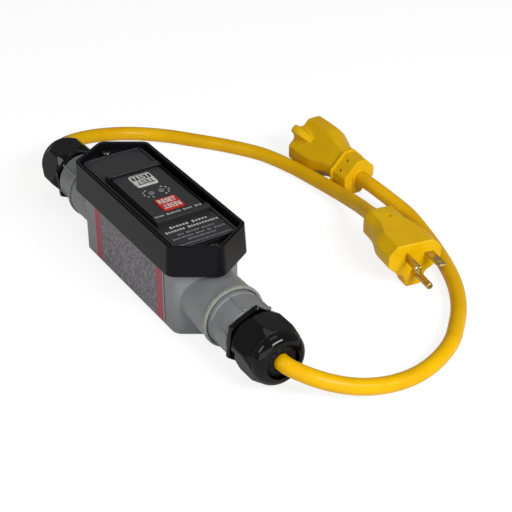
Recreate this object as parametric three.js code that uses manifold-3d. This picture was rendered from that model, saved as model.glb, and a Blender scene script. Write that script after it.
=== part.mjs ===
// In-line ground fault cord set: a weatherproof box with test and reset keys, a cable gland at each
// end, and two short cords that carry a grounded plug (line side) and a grounded connector (load side).
// Millimetres, +Z up. The origin is on the ground under the middle of the box, and +X runs along the
// box towards the load-side gland.
import * as THREE from "three";
import { mergeVertices } from "three/addons/utils/BufferGeometryUtils.js";
import Module from "manifold-3d";

const wasm = await Module();
wasm.setup();

// ---------------------------------------------------------------- driving dimensions
const GAP = 0.3; // clearance that neighbouring pieces keep

// Box and cover
const COVER_LENGTH = 162.7; // apex to apex, at the rim
const COVER_WIDTH = 54.7;
const COVER_TAPER = 17.2; // length of each tapered end
const COVER_TOP = 66.6; // height of the rim above the ground
const COVER_SKIRT = 20.6; // height of the outer skirt
const COVER_DRAFT = 1.3; // how far each side leans out by the bottom of the skirt
const COVER_CORNER = 6;
const RIM_WIDTH = 2;
const TRAY_DEPTH = 6;
const DECK_THICKNESS = 4;
const BOX_MARGIN = 3.8; // how far the box wall stands inside the rim outline
const BOX_WALL = 2.6;
const BOX_FLOOR = 3;
const BOX_CORNER = 8;
const GASKET_THICKNESS = 2;
const SCREW_INSET = 9.35; // from the cover's apex to the screw
const SCREW_RADIUS = 1.6;
const SCREW_HEAD_RADIUS = 3.3;
const SCREW_HEAD_HEIGHT = 2;
const SCREW_DEPTH = 14;
const POST_RADIUS = 4.5;

// Face plate, bezel and keys
const PLATE_LENGTH = 130;
const PLATE_WIDTH = 44;
const PLATE_THICKNESS = 2.5;
const PLATE_BEAD = 1.9;
const PLATE_BEAD_HEIGHT = 0.6;
const BEZEL_LENGTH = 71.3;
const BEZEL_WIDTH = 39.3;
const BEZEL_HEIGHT = 6.1;
const FACE_LENGTH = 61.2;
const FACE_WIDTH = 36;
const FACE_RECESS = 1.4; // below the bezel's top
const FACE_THICKNESS = 2;
const FACE_WALL = 1.5;
const KEY_SIZE = 15.3;
const KEY_CORNER = 1.8;
const KEY_RISE = 0.7; // key top above the face
const KEY_FLANGE = 0.9; // how far the retaining flange stands out
const KEY_FLANGE_THICKNESS = 1.6;
const KEY_STEM_RADIUS = 2.6;
const KEY_STEM_LENGTH = 8.7;
const TEST_KEY_X = -18.7;
const RESET_KEY_X = 16.6;
const LENS_RADIUS = 2.25;
const LENS_X = -0.9;
const LENS_SPACING = 7.2;

// Ground fault module under the keys
const DECK_OPENING = [60, 35];
const LID_SIZE = [66, 40, 2];
const TUB_SIZE = [58, 33, 27];
const TUB_WALL = 1.5;
const BOARD_MARGIN = 0.5;
const BOARD_THICKNESS = 1.4;
const BOARD_HEIGHT = 11.5; // above the tub's floor
const COIL_OUTER = 8;
const COIL_INNER = 4.5;
const COIL_HEIGHT = 4;
const SOLENOID_RADIUS = 4.4;
const SOLENOID_LENGTH = 16;
const PLUNGER_RADIUS = 1.6;
const CONTACT_RADIUS = 1.8;
const CONTACT_HEIGHT = 4;

// Hub, adapter and cable gland, along X from the middle of the box
const AXIS_HEIGHT = 23.7;
const HUB_RADIUS = 20.3;
const HUB_BORE = 17.4;
const HUB_REACH = 10.25; // how far the hub stands out past the cover's apex
const RING_WIDTH = 2.7;
const RING_RADIUS = 21.1;
const RING_WALL = 1.5;
const ADAPTER_RADIUS = 17.9;
const ADAPTER_BORE = 13.3;
const ADAPTER_LENGTH = 22.5; // outside the hub
const ADAPTER_INSERT = 8; // inside the hub
const RIB_COUNT = 6;
const RIB_TURN = 13.5; // degrees from straight up to the first rib
const RIB_WIDTH = 2;
const RIB_HEIGHT = 1.05;
const WASHER_THICKNESS = 0.8;
const HEX_ACROSS_FLATS = 36;
const FLANGE_TURN = -6; // degrees from a corner straight up, for the flange's hexagon
const NUT_TURN = 18; // and for the nut's
const HEX_FLANGE = 3.8;
const GLAND_SHANK = 16;
const GLAND_NECK = 13;
const GLAND_NECK_RADIUS = 14.6;
const GLAND_BORE = 8.2;
const SEAL_RADIUS = 10.7;
const SEAL_SEAT = 9; // how deep the seal sits in the gland body
const NUT_LENGTH = 29.7;
const NUT_OPENING = 11;
const DOME_RADIUS = 18.1; // where the dome meets the nut's flats
const DOME_LENGTH = 7.2;

// Cords
const CORD_RADIUS = 5.25;
const WIRE_RADIUS = 1.6;
const WIRE_PITCH = 3.2; // radius of the circle that the three conductors lie on

// Plug and connector. Both have the same eight-sided head with a lobe for the ground contact.
const HEAD_TOP = 9.1;
const HEAD_BOTTOM = 12;
const HEAD_HALF = 19.5;
const HEAD_CHAMFER = 6.7;
const BLADE_LENGTH = 18;
const BLADE_HEIGHT = 6.35;
const BLADE_THICKNESS = 1.5;
const BLADE_EMBED = 7.5;
const BLADE_HOLE = 1.5;
const LINE_BLADE_OFFSET = 6.35; // the upright blade, from the middle of the face
const NEUTRAL_BLADE_OFFSET = 10; // the level blade
const GROUND_OFFSET = 11.9;
const GROUND_PIN_RADIUS = 2.4;
const GROUND_PIN_LENGTH = 21;
const BOSS_RADIUS = 6.6;
const BOSS_LENGTH = 1.6;

const PLUG_LENGTH = 51.5;
const PLUG_LOBE = { tip: 6.1, base: 12.6, depth: 11.3, length: 17 };
const PLUG_FACE = [96.3, 137.3]; // where the middle of the face lies on the ground plan
const PLUG_YAW = -9; // degrees

const CONNECTOR_LENGTH = 71;
const CONNECTOR_LOBE = { tip: 3.1, base: 6.9, depth: 7.8, length: 15 };
const CONNECTOR_FACE = [-91, 178.3];
const CONNECTOR_ROLL = 45; // it lies on the chamfer opposite the lobe
const COLLAR_START = 53.2; // behind the face
const COLLAR_WIDTH = 2.4;
const SOCKET_WALL = 3;
const SOCKET_DEPTH = 12;

// The cords' routes between their ends: points chosen by hand, on the ground or rising to an end
const LOAD_ROUTE = [
  [152, 0.2, 23.5], [160.4, 6.2, 20.6], [169.8, 17.8, 15.8], [176.6, 34, 10.4], [180.4, 53, 6.6],
  [181, 71.7, 5.4], [177, 90.2, 5.4], [166.2, 111.8, 5.4], [152.6, 127.5, 5.4], [137.3, 141.6, 5.4],
  [115.5, 155.9, 5.4], [87.6, 168, 5.4], [57, 177.5, 5.8], [33, 181.6, 8.2], [16, 180, 11.4],
];
const LINE_ROUTE = [
  [-152, 0.2, 23.6], [-162.4, 4, 22.9], [-171.5, 13.5, 21.4], [-178, 28.6, 18.6], [-182, 47, 14.8],
  [-180.4, 72.4, 10], [-168.6, 96.5, 6.6], [-149.4, 115, 5.5], [-128, 131.6, 5.4], [-104, 145.6, 5.4],
  [-77, 153.4, 5.4], [-49, 156.8, 6.2], [-18, 157.8, 8.8], [12.4, 153.8, 13.6],
];
const ROUTE_HUB_END = 91.6; // the routes are written for hubs that end here
const ROUTE_REACH = 100; // how far along Y a route gives way when the hubs move

// ---------------------------------------------------------------- worked-out places
const COVER_STRAIGHT = COVER_LENGTH - 2 * COVER_TAPER; // length of the straight long sides
const SCREW_POSITION = COVER_LENGTH / 2 - SCREW_INSET; // along X, at both ends
const HUB_END = COVER_LENGTH / 2 + HUB_REACH;
const SKIRT_BOTTOM = COVER_TOP - COVER_SKIRT;
const DECK_TOP = COVER_TOP - TRAY_DEPTH;
const DECK_BOTTOM = DECK_TOP - DECK_THICKNESS;
const BOX_TOP = DECK_BOTTOM - GASKET_THICKNESS - 2 * GAP;
const SEAT = DECK_TOP + GAP; // what lies on the cover's deck
const BEZEL_TOP = SEAT + BEZEL_HEIGHT;
const FACE_TOP = BEZEL_TOP - FACE_RECESS;
const FACE_UNDERSIDE = FACE_TOP - FACE_THICKNESS;
const LID_TOP = DECK_BOTTOM - GAP;
const TUB_TOP = LID_TOP - LID_SIZE[2] - GAP;
const TUB_BOTTOM = TUB_TOP - TUB_SIZE[2];
const BOARD_BOTTOM = TUB_BOTTOM + TUB_WALL + BOARD_HEIGHT;
const BOARD_TOP = BOARD_BOTTOM + BOARD_THICKNESS;
const FLANGE_TOP = FACE_UNDERSIDE - GAP;
const FLANGE_BOTTOM = FLANGE_TOP - KEY_FLANGE_THICKNESS;
const RING_START = HUB_END + GAP;
const RING_END = RING_START + RING_WIDTH;
const ADAPTER_END = RING_START + ADAPTER_LENGTH;
const FLANGE_START = ADAPTER_END + WASHER_THICKNESS + 2 * GAP;
const NUT_START = FLANGE_START + HEX_FLANGE + GAP;
const NUT_END = NUT_START + NUT_LENGTH;
const NECK_END = NUT_START - GAP + GLAND_NECK;
const CORD_START = NECK_END - 2;

// ---------------------------------------------------------------- geometry helpers
const ALONG_X = new THREE.Matrix4().makeBasis(
  new THREE.Vector3(0, 1, 0), new THREE.Vector3(0, 0, 1), new THREE.Vector3(1, 0, 0),
); // turns a section drawn in X and Y and raised along Z into one in Y and Z that runs along X

// Six times the signed volume of a closed indexed mesh.
function signedVolume(position, index) {
  const [a, b, c] = [new THREE.Vector3(), new THREE.Vector3(), new THREE.Vector3()];
  let total = 0;
  for (let i = 0; i < index.count; i += 3) {
    a.fromBufferAttribute(position, index.getX(i));
    b.fromBufferAttribute(position, index.getX(i + 1));
    c.fromBufferAttribute(position, index.getX(i + 2));
    total += a.dot(b.cross(c));
  }
  return total;
}

// The same surface with shared vertices merged and its faces pointing out.
function closed(geometry) {
  const bare = geometry.clone();
  for (const name of Object.keys(bare.attributes)) {
    if (name !== "position") bare.deleteAttribute(name);
  }
  const merged = mergeVertices(bare, 1e-4);
  const kept = [];
  const source = merged.index.array;
  for (let i = 0; i < source.length; i += 3) {
    const [a, b, c] = [source[i], source[i + 1], source[i + 2]];
    if (a !== b && b !== c && c !== a) kept.push(a, b, c);
  }
  merged.setIndex(kept);
  if (signedVolume(merged.attributes.position, merged.index) < 0) {
    for (let i = 0; i < kept.length; i += 3) [kept[i + 1], kept[i + 2]] = [kept[i + 2], kept[i + 1]];
    merged.setIndex(kept);
  }
  return merged;
}

function toSolid(geometry) {
  const mesh = closed(geometry);
  return new wasm.Manifold(new wasm.Mesh({
    numProp: 3,
    vertProperties: new Float32Array(mesh.attributes.position.array),
    triVerts: new Uint32Array(mesh.index.array),
  }));
}

function toGeometry(solid) {
  const mesh = solid.getMesh();
  const geometry = new THREE.BufferGeometry();
  geometry.setAttribute("position", new THREE.BufferAttribute(new Float32Array(mesh.vertProperties), 3));
  geometry.setIndex(Array.from(mesh.triVerts));
  return geometry;
}

// base plus every geometry in added, less every geometry in removed
function carve(base, added, removed) {
  let solid = toSolid(base);
  for (const geometry of added) solid = solid.add(toSolid(geometry));
  for (const geometry of removed) solid = solid.subtract(toSolid(geometry));
  return toGeometry(solid);
}

// Corners rounded by quadratic curves that start `radius` from each corner, as a closed list of points.
function roundedOutline(corners, radius, segments = 4) {
  const points = [];
  corners.forEach((corner, i) => {
    const before = corners[(i + corners.length - 1) % corners.length];
    const after = corners[(i + 1) % corners.length];
    const reach = Math.min(radius, 0.45 * corner.distanceTo(before), 0.45 * corner.distanceTo(after));
    const from = corner.clone().lerp(before, reach / corner.distanceTo(before));
    const to = corner.clone().lerp(after, reach / corner.distanceTo(after));
    points.push(...new THREE.QuadraticBezierCurve(from, corner, to).getPoints(segments));
  });
  return points;
}

function rectangle(length, width, radius, segments = 4) {
  const [x, y] = [length / 2, width / 2];
  const corners = [[x, -y], [x, y], [-x, y], [-x, -y]].map(([a, b]) => new THREE.Vector2(a, b));
  return roundedOutline(corners, radius, segments);
}

// The cover's six-sided outline, moved in by `inset` on every side.
function coverOutline(inset, radius) {
  const run = COVER_TAPER;
  const rise = COVER_WIDTH / 2;
  const slant = Math.hypot(run, rise);
  const apex = COVER_LENGTH / 2 - inset * slant / rise;
  const half = rise - inset;
  const shoulder = apex - half * run / rise;
  const corners = [[shoulder, -half], [apex, 0], [shoulder, half], [-shoulder, half], [-apex, 0], [-shoulder, -half]];
  return roundedOutline(corners.map(([x, y]) => new THREE.Vector2(x, y)), radius);
}

// A closed body through outlines of equal point count, each at its own height along Z.
function loft(sections) {
  const count = sections[0].outline.length;
  const clockwise = THREE.ShapeUtils.isClockWise(sections[0].outline);
  const outlines = sections.map(({ outline }) => (clockwise ? [...outline].reverse() : outline));
  const positions = [];
  outlines.forEach((outline, s) => {
    for (const point of outline) positions.push(point.x, point.y, sections[s].at);
  });
  const index = [];
  for (let s = 0; s + 1 < sections.length; s++) {
    for (let i = 0; i < count; i++) {
      const next = (i + 1) % count;
      const [a, b] = [s * count + i, s * count + next];
      index.push(a, b, b + count, a, b + count, a + count);
    }
  }
  const caps = [[0, true], [sections.length - 1, false]];
  for (const [section, flip] of caps) {
    for (const [a, b, c] of THREE.ShapeUtils.triangulateShape(outlines[section], [])) {
      const offset = section * count;
      index.push(...(flip ? [c, b, a] : [a, b, c]).map((corner) => corner + offset));
    }
  }
  const geometry = new THREE.BufferGeometry();
  geometry.setAttribute("position", new THREE.Float32BufferAttribute(positions, 3));
  geometry.setIndex(index);
  return geometry;
}

// An outline raised from one height to another.
function prism(outline, from, to) {
  return loft([{ outline, at: from }, { outline, at: to }]);
}

function block(sizeX, sizeY, sizeZ, x, y, z) {
  return new THREE.BoxGeometry(sizeX, sizeY, sizeZ).translate(x, y, z);
}

function cylinderAlongZ(radius, from, to, x = 0, y = 0, sides = 24) {
  const geometry = new THREE.CylinderGeometry(radius, radius, to - from, sides);
  return geometry.rotateX(Math.PI / 2).translate(x, y, (from + to) / 2);
}

function cylinderAlongX(radius, from, to, y = 0, z = 0, sides = 24) {
  const geometry = new THREE.CylinderGeometry(radius, radius, to - from, sides);
  return geometry.rotateZ(Math.PI / 2).translate((from + to) / 2, y, z);
}

// A body turned about X: the profile is a closed list of [x, radius].
function turnedAboutX(profile, sides = 24) {
  const points = [...profile, profile[0]].map(([x, radius]) => new THREE.Vector2(radius, x));
  return new THREE.LatheGeometry(points, sides).rotateZ(-Math.PI / 2);
}

// A tube along a smooth curve, closed at both ends.
function tubeAlong(curve, radius, sides, steps) {
  const section = new THREE.Shape(
    Array.from({ length: sides }, (_, i) => {
      const angle = 2 * Math.PI * i / sides;
      return new THREE.Vector2(radius * Math.cos(angle), radius * Math.sin(angle));
    }),
  );
  return new THREE.ExtrudeGeometry(section, { steps, extrudePath: curve, bevelEnabled: false });
}

function smoothCurve(points) {
  return new THREE.CatmullRomCurve3(points.map((point) => new THREE.Vector3(...point)), false, "centripetal");
}

// ---------------------------------------------------------------- materials and nodes
function finish(color, roughness, metalness = 0) {
  return new THREE.MeshStandardMaterial({ color, roughness, metalness });
}

const finishes = {
  greyPvc: () => finish(0x85878b, 0.55),
  paleGrey: () => finish(0x9b9c94, 0.5),
  coverBlack: () => finish(0x2b2a2e, 0.5),
  faceBlack: () => finish(0x333238, 0.65),
  glandBlack: () => finish(0x0c0c0e, 0.25),
  rubber: () => finish(0x18181a, 0.8),
  yellow: () => finish(0xdda812, 0.5),
  cordYellow: () => finish(0xe8b416, 0.4),
  white: () => finish(0xd9d9d4, 0.45),
  red: () => finish(0xb81f18, 0.4),
  labelGrey: () => finish(0x605c64, 0.5),
  lens: () => finish(0x8c8d90, 0.25),
  brass: () => finish(0xb0863c, 0.3, 1),
  steel: () => finish(0xa8aaad, 0.3, 1),
  copper: () => finish(0xa5582c, 0.35, 1),
  boardGreen: () => finish(0x1c5a34, 0.5),
};

function node(parent, name, geometry, material) {
  const mesh = new THREE.Mesh(closed(geometry), material);
  mesh.name = name;
  parent.add(mesh);
  return mesh;
}

// ---------------------------------------------------------------- box and cover
function enclosureGeometry() {
  const outer = prism(coverOutline(BOX_MARGIN, BOX_CORNER), 0, BOX_TOP);
  const cavity = prism(coverOutline(BOX_MARGIN + BOX_WALL, BOX_CORNER - BOX_WALL), BOX_FLOOR, BOX_TOP + 1);
  const inside = COVER_STRAIGHT / 2 - 4;
  const hubs = [];
  const bores = [];
  const posts = [];
  const holes = [];
  for (const side of [-1, 1]) {
    const [from, to] = side > 0 ? [inside, HUB_END] : [-HUB_END, -inside];
    hubs.push(cylinderAlongX(HUB_RADIUS, from, to, 0, AXIS_HEIGHT, 36));
    const [boreFrom, boreTo] = side > 0 ? [inside - 2, HUB_END + 1] : [-HUB_END - 1, -inside + 2];
    bores.push(cylinderAlongX(HUB_BORE, boreFrom, boreTo, 0, AXIS_HEIGHT, 24));
    const postBottom = DECK_TOP - SCREW_DEPTH - 3;
    posts.push(cylinderAlongZ(POST_RADIUS, postBottom, BOX_TOP, side * SCREW_POSITION, 0, 16));
    const holeBottom = DECK_TOP - SCREW_DEPTH - 1;
    holes.push(cylinderAlongZ(SCREW_RADIUS + GAP, holeBottom, BOX_TOP + 1, side * SCREW_POSITION, 0, 16));
  }
  const shell = carve(outer, hubs, [cavity, ...bores]);
  return carve(shell, posts, holes);
}

function gasketGeometry() {
  const from = BOX_TOP + GAP;
  const to = from + GASKET_THICKNESS;
  const outer = prism(coverOutline(BOX_MARGIN + 0.3, BOX_CORNER), from, to);
  const inner = prism(coverOutline(BOX_MARGIN + BOX_WALL, BOX_CORNER - BOX_WALL), from - 1, to + 1);
  const screws = [-SCREW_POSITION, SCREW_POSITION];
  const ears = screws.map((x) => cylinderAlongZ(POST_RADIUS, from, to, x, 0, 16));
  const holes = screws.map((x) => cylinderAlongZ(SCREW_RADIUS + GAP, from - 1, to + 1, x, 0, 16));
  return carve(carve(outer, [], [inner]), ears, holes);
}

function coverGeometry() {
  const outer = loft([
    { outline: coverOutline(-COVER_DRAFT, COVER_CORNER), at: SKIRT_BOTTOM },
    { outline: coverOutline(0, COVER_CORNER), at: COVER_TOP },
  ]);
  const tray = prism(coverOutline(RIM_WIDTH, COVER_CORNER - RIM_WIDTH), DECK_TOP, COVER_TOP + 1);
  const inside = prism(coverOutline(RIM_WIDTH + 0.3, COVER_CORNER), SKIRT_BOTTOM - 1, DECK_BOTTOM);
  const opening = prism(rectangle(...DECK_OPENING, 2), DECK_BOTTOM - 1, DECK_TOP + 1);
  const holes = [-1, 1].map((side) => (
    cylinderAlongZ(SCREW_RADIUS + GAP, DECK_BOTTOM - 1, DECK_TOP + 1, side * SCREW_POSITION, 0, 16)
  ));
  return carve(outer, [], [tray, inside, opening, ...holes]);
}

function screwGeometry(x) {
  const head = cylinderAlongZ(SCREW_HEAD_RADIUS, SEAT, SEAT + SCREW_HEAD_HEIGHT, x, 0, 20);
  const shank = cylinderAlongZ(SCREW_RADIUS, DECK_TOP - SCREW_DEPTH, SEAT + 0.5, x, 0, 12);
  const top = SEAT + SCREW_HEAD_HEIGHT;
  const slots = [block(4.2, 0.9, 1.2, x, 0, top), block(0.9, 4.2, 1.2, x, 0, top)];
  return carve(head, [shank], slots);
}

function facePlateGeometry() {
  const top = SEAT + PLATE_THICKNESS;
  const body = prism(rectangle(PLATE_LENGTH, PLATE_WIDTH, 5), SEAT, top + PLATE_BEAD_HEIGHT);
  const inner = [PLATE_LENGTH - 2 * PLATE_BEAD, PLATE_WIDTH - 2 * PLATE_BEAD];
  const field = prism(rectangle(...inner, 4), top, top + PLATE_BEAD_HEIGHT + 1);
  const hole = [BEZEL_LENGTH + 2 * GAP, BEZEL_WIDTH + 2 * GAP];
  const opening = prism(rectangle(...hole, 3.8), SEAT - 1, top + PLATE_BEAD_HEIGHT + 1);
  return carve(body, [], [field, opening]);
}

function bezelGeometry() {
  const outer = prism(rectangle(BEZEL_LENGTH, BEZEL_WIDTH, 3.5), SEAT, BEZEL_TOP);
  const hole = [FACE_LENGTH + 2 * GAP, FACE_WIDTH + 2 * GAP];
  return carve(outer, [], [prism(rectangle(...hole, 3), SEAT - 1, BEZEL_TOP + 1)]);
}

function deviceFaceGeometry() {
  const body = prism(rectangle(FACE_LENGTH, FACE_WIDTH, 2.7), SEAT, FACE_TOP);
  const hollowSize = [FACE_LENGTH - 2 * FACE_WALL, FACE_WIDTH - 2 * FACE_WALL];
  const hollow = prism(rectangle(...hollowSize, 1.5), SEAT - 1, FACE_UNDERSIDE);
  const keyHoles = [TEST_KEY_X, RESET_KEY_X].map((x) => (
    prism(rectangle(KEY_SIZE + 2 * GAP, KEY_SIZE + 2 * GAP, KEY_CORNER + GAP), SEAT, FACE_TOP + 1).translate(x, 0, 0)
  ));
  const lensHoles = [-1, 1].map((side) => (
    cylinderAlongZ(LENS_RADIUS + GAP, SEAT, FACE_TOP + 1, LENS_X, side * LENS_SPACING / 2, 20)
  ));
  return carve(body, [], [hollow, ...keyHoles, ...lensHoles]);
}

function keyGeometry() {
  const cap = prism(rectangle(KEY_SIZE, KEY_SIZE, KEY_CORNER), FLANGE_BOTTOM, FACE_TOP + KEY_RISE);
  const flangeSize = KEY_SIZE + 2 * KEY_FLANGE;
  const flange = prism(rectangle(flangeSize, flangeSize, KEY_CORNER), FLANGE_BOTTOM, FLANGE_TOP);
  const stem = cylinderAlongZ(KEY_STEM_RADIUS, FLANGE_BOTTOM - KEY_STEM_LENGTH, FLANGE_BOTTOM + 0.5, 0, 0, 16);
  return carve(cap, [flange, stem], []);
}

function springGeometry() {
  const wire = 0.35;
  const [from, to] = [LID_TOP + GAP + wire, FLANGE_BOTTOM - GAP - wire];
  const turns = 2.5;
  const radius = KEY_STEM_RADIUS + GAP + 1;
  const points = Array.from({ length: 21 }, (_, i) => {
    const angle = 2 * Math.PI * turns * i / 20;
    return [radius * Math.cos(angle), radius * Math.sin(angle), from + (to - from) * i / 20];
  });
  return tubeAlong(smoothCurve(points), wire, 5, 24);
}

function lensGeometry() {
  const [low, high] = [FACE_UNDERSIDE, FACE_TOP + 0.1];
  const points = [[0, low], [LENS_RADIUS, low], [LENS_RADIUS, high], [1.6, high + 0.35], [0, high + 0.5]];
  return new THREE.LatheGeometry(points.map(([r, z]) => new THREE.Vector2(r, z)), 20).rotateX(Math.PI / 2);
}

function lampGeometry() {
  const [low, high] = [LID_TOP + GAP, FACE_UNDERSIDE - GAP];
  const points = [[0, low], [1.5, low], [1.5, high - 1.2], [1, high - 0.3], [0, high]];
  return new THREE.LatheGeometry(points.map(([r, z]) => new THREE.Vector2(r, z)), 16).rotateX(Math.PI / 2);
}

function buildBox(parent) {
  node(parent, "enclosure", enclosureGeometry(), finishes.greyPvc());
  node(parent, "cover_gasket", gasketGeometry(), finishes.rubber());
  node(parent, "cover", coverGeometry(), finishes.coverBlack());
  node(parent, "cover_screw_line", screwGeometry(-SCREW_POSITION), finishes.steel());
  node(parent, "cover_screw_load", screwGeometry(SCREW_POSITION), finishes.steel());
  const labelY = -(COVER_WIDTH / 2 - BOX_MARGIN) - GAP - 0.2;
  node(parent, "side_label", block(95, 0.4, 42, 2, labelY, 23.2), finishes.labelGrey());
}

function buildFace(parent) {
  node(parent, "face_plate", facePlateGeometry(), finishes.faceBlack());
  node(parent, "bezel", bezelGeometry(), finishes.coverBlack());
  node(parent, "device_face", deviceFaceGeometry(), finishes.faceBlack());
  const keys = [["test", TEST_KEY_X, finishes.white()], ["reset", RESET_KEY_X, finishes.red()]];
  for (const [name, x, material] of keys) {
    node(parent, `${name}_button`, keyGeometry(), material).position.x = x;
    node(parent, `${name}_spring`, springGeometry(), finishes.steel()).position.x = x;
  }
  for (const [name, side] of [["power", 1], ["fault", -1]]) {
    const y = side * LENS_SPACING / 2;
    node(parent, `${name}_lens`, lensGeometry(), finishes.lens()).position.set(LENS_X, y, 0);
    node(parent, `${name}_lamp`, lampGeometry(), finishes.lens()).position.set(LENS_X, y, 0);
  }
}

// ---------------------------------------------------------------- ground fault module
function buildModule(parent) {
  const stemHoles = [TEST_KEY_X, RESET_KEY_X].map((x) => (
    cylinderAlongZ(KEY_STEM_RADIUS + GAP, TUB_TOP - 1, LID_TOP + 1, x, 0, 16)
  ));
  const lid = prism(rectangle(LID_SIZE[0], LID_SIZE[1], 3), LID_TOP - LID_SIZE[2], LID_TOP);
  node(parent, "module_lid", carve(lid, [], stemHoles), finishes.coverBlack());

  const [tubLength, tubWidth] = TUB_SIZE;
  const tub = prism(rectangle(tubLength, tubWidth, 3), TUB_BOTTOM, TUB_TOP);
  const room = prism(
    rectangle(tubLength - 2 * TUB_WALL, tubWidth - 2 * TUB_WALL, 1.5), TUB_BOTTOM + TUB_WALL, TUB_TOP + 1,
  );
  node(parent, "module_base", carve(tub, [], [room]), finishes.coverBlack());

  const boardLength = tubLength - 2 * (TUB_WALL + BOARD_MARGIN);
  const boardWidth = tubWidth - 2 * (TUB_WALL + BOARD_MARGIN);
  const board = prism(rectangle(boardLength, boardWidth, 1.5), BOARD_BOTTOM, BOARD_TOP);
  node(parent, "circuit_board", board, finishes.boardGreen());

  for (const [i, name] of ["sensing_coil", "grounded_neutral_coil"].entries()) {
    const low = BOARD_TOP + GAP + i * (COIL_HEIGHT + GAP);
    const ring = cylinderAlongZ(COIL_OUTER, low, low + COIL_HEIGHT, -17, 0);
    const hole = cylinderAlongZ(COIL_INNER, low - 1, low + COIL_HEIGHT + 1, -17, 0);
    node(parent, name, carve(ring, [], [hole]), finishes.copper());
  }

  const solenoidY = -9;
  const solenoidZ = BOARD_TOP + GAP + SOLENOID_RADIUS;
  const winding = cylinderAlongX(SOLENOID_RADIUS, -6, -6 + SOLENOID_LENGTH, solenoidY, solenoidZ, 20);
  const core = cylinderAlongX(PLUNGER_RADIUS + GAP, -7, SOLENOID_LENGTH, solenoidY, solenoidZ, 16);
  node(parent, "trip_solenoid", carve(winding, [], [core]), finishes.copper());
  const plunger = cylinderAlongX(PLUNGER_RADIUS, -2, -2 + SOLENOID_LENGTH + 2, solenoidY, solenoidZ, 16);
  node(parent, "trip_plunger", plunger, finishes.steel());

  const contactTop = BOARD_TOP + GAP + CONTACT_HEIGHT;
  for (const [name, x] of [["fixed_contact_line", 8], ["fixed_contact_load", 20]]) {
    const post = cylinderAlongZ(CONTACT_RADIUS, BOARD_TOP + GAP, contactTop, x, 6, 12);
    node(parent, name, post, finishes.brass());
  }
  const carrier = prism(rectangle(18, 10, 1), contactTop + GAP, contactTop + GAP + 3).translate(14, 6, 0);
  node(parent, "contact_carrier", carrier, finishes.brass());
}

// ---------------------------------------------------------------- hub fittings and gland
function adapterGeometry() {
  const recess = RING_START + 1.3;
  const body = turnedAboutX([
    [RING_START - ADAPTER_INSERT, ADAPTER_BORE], [ADAPTER_END, ADAPTER_BORE], [ADAPTER_END, ADAPTER_RADIUS],
    [recess, ADAPTER_RADIUS], [recess, RING_RADIUS - RING_WALL - GAP],
    [RING_START, RING_RADIUS - RING_WALL - GAP], [RING_START, HUB_BORE - GAP],
    [RING_START - ADAPTER_INSERT, HUB_BORE - GAP],
  ], 32);
  const ribs = Array.from({ length: RIB_COUNT }, (_, i) => {
    const length = ADAPTER_END - recess - 0.4;
    const rib = block(length, RIB_WIDTH, RIB_HEIGHT + 1, recess + length / 2, 0, 0);
    rib.translate(0, 0, ADAPTER_RADIUS + RIB_HEIGHT / 2 - 0.5);
    return rib.rotateX(THREE.MathUtils.degToRad(RIB_TURN + 360 * i / RIB_COUNT));
  });
  return carve(body, ribs, []);
}

function hexPrism(from, to, turn) {
  const radius = HEX_ACROSS_FLATS / Math.sqrt(3);
  const prism = new THREE.CylinderGeometry(radius, radius, to - from, 6).rotateZ(Math.PI / 2);
  return prism.rotateX(THREE.MathUtils.degToRad(turn)).translate((from + to) / 2, 0, 0);
}

function glandBodyGeometry() {
  const inner = FLANGE_START - GLAND_SHANK;
  const seat = NECK_END - SEAL_SEAT;
  const shank = turnedAboutX([
    [inner, 0], [NECK_END, 0], [NECK_END, GLAND_NECK_RADIUS], [FLANGE_START + 1, GLAND_NECK_RADIUS],
    [FLANGE_START + 1, ADAPTER_BORE - GAP], [inner, ADAPTER_BORE - GAP],
  ]);
  const bore = turnedAboutX([
    [inner - 1, 0], [NECK_END + 1, 0], [NECK_END + 1, SEAL_RADIUS + GAP], [seat, SEAL_RADIUS + GAP],
    [seat, GLAND_BORE], [inner - 1, GLAND_BORE],
  ]);
  return carve(hexPrism(FLANGE_START, FLANGE_START + HEX_FLANGE, FLANGE_TURN), [shank], [bore]);
}

function domeNutGeometry() {
  const domeStart = NUT_END - DOME_LENGTH;
  const corner = HEX_ACROSS_FLATS / Math.sqrt(3) + 0.2;
  const envelope = turnedAboutX([
    [NUT_START, 0], [NUT_START, corner - 0.9], [NUT_START + 1, corner], [domeStart - 6, corner],
    [domeStart - 2.4, corner - 0.9], [domeStart, DOME_RADIUS], [domeStart + 3.2, DOME_RADIUS - 1.6],
    [domeStart + 5.4, DOME_RADIUS - 3.7], [NUT_END, NUT_OPENING + 1.2], [NUT_END, 0],
  ], 36);
  const solid = toSolid(hexPrism(NUT_START, NUT_END, NUT_TURN)).intersect(toSolid(envelope));
  const bore = turnedAboutX([
    [NUT_START - 1, 0], [NUT_START - 1, GLAND_NECK_RADIUS + GAP], [NECK_END + 1, GLAND_NECK_RADIUS + GAP],
    [NECK_END + 4, NUT_OPENING], [NUT_END + 1, NUT_OPENING], [NUT_END + 1, 0],
  ]);
  return toGeometry(solid.subtract(toSolid(bore)));
}

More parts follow.
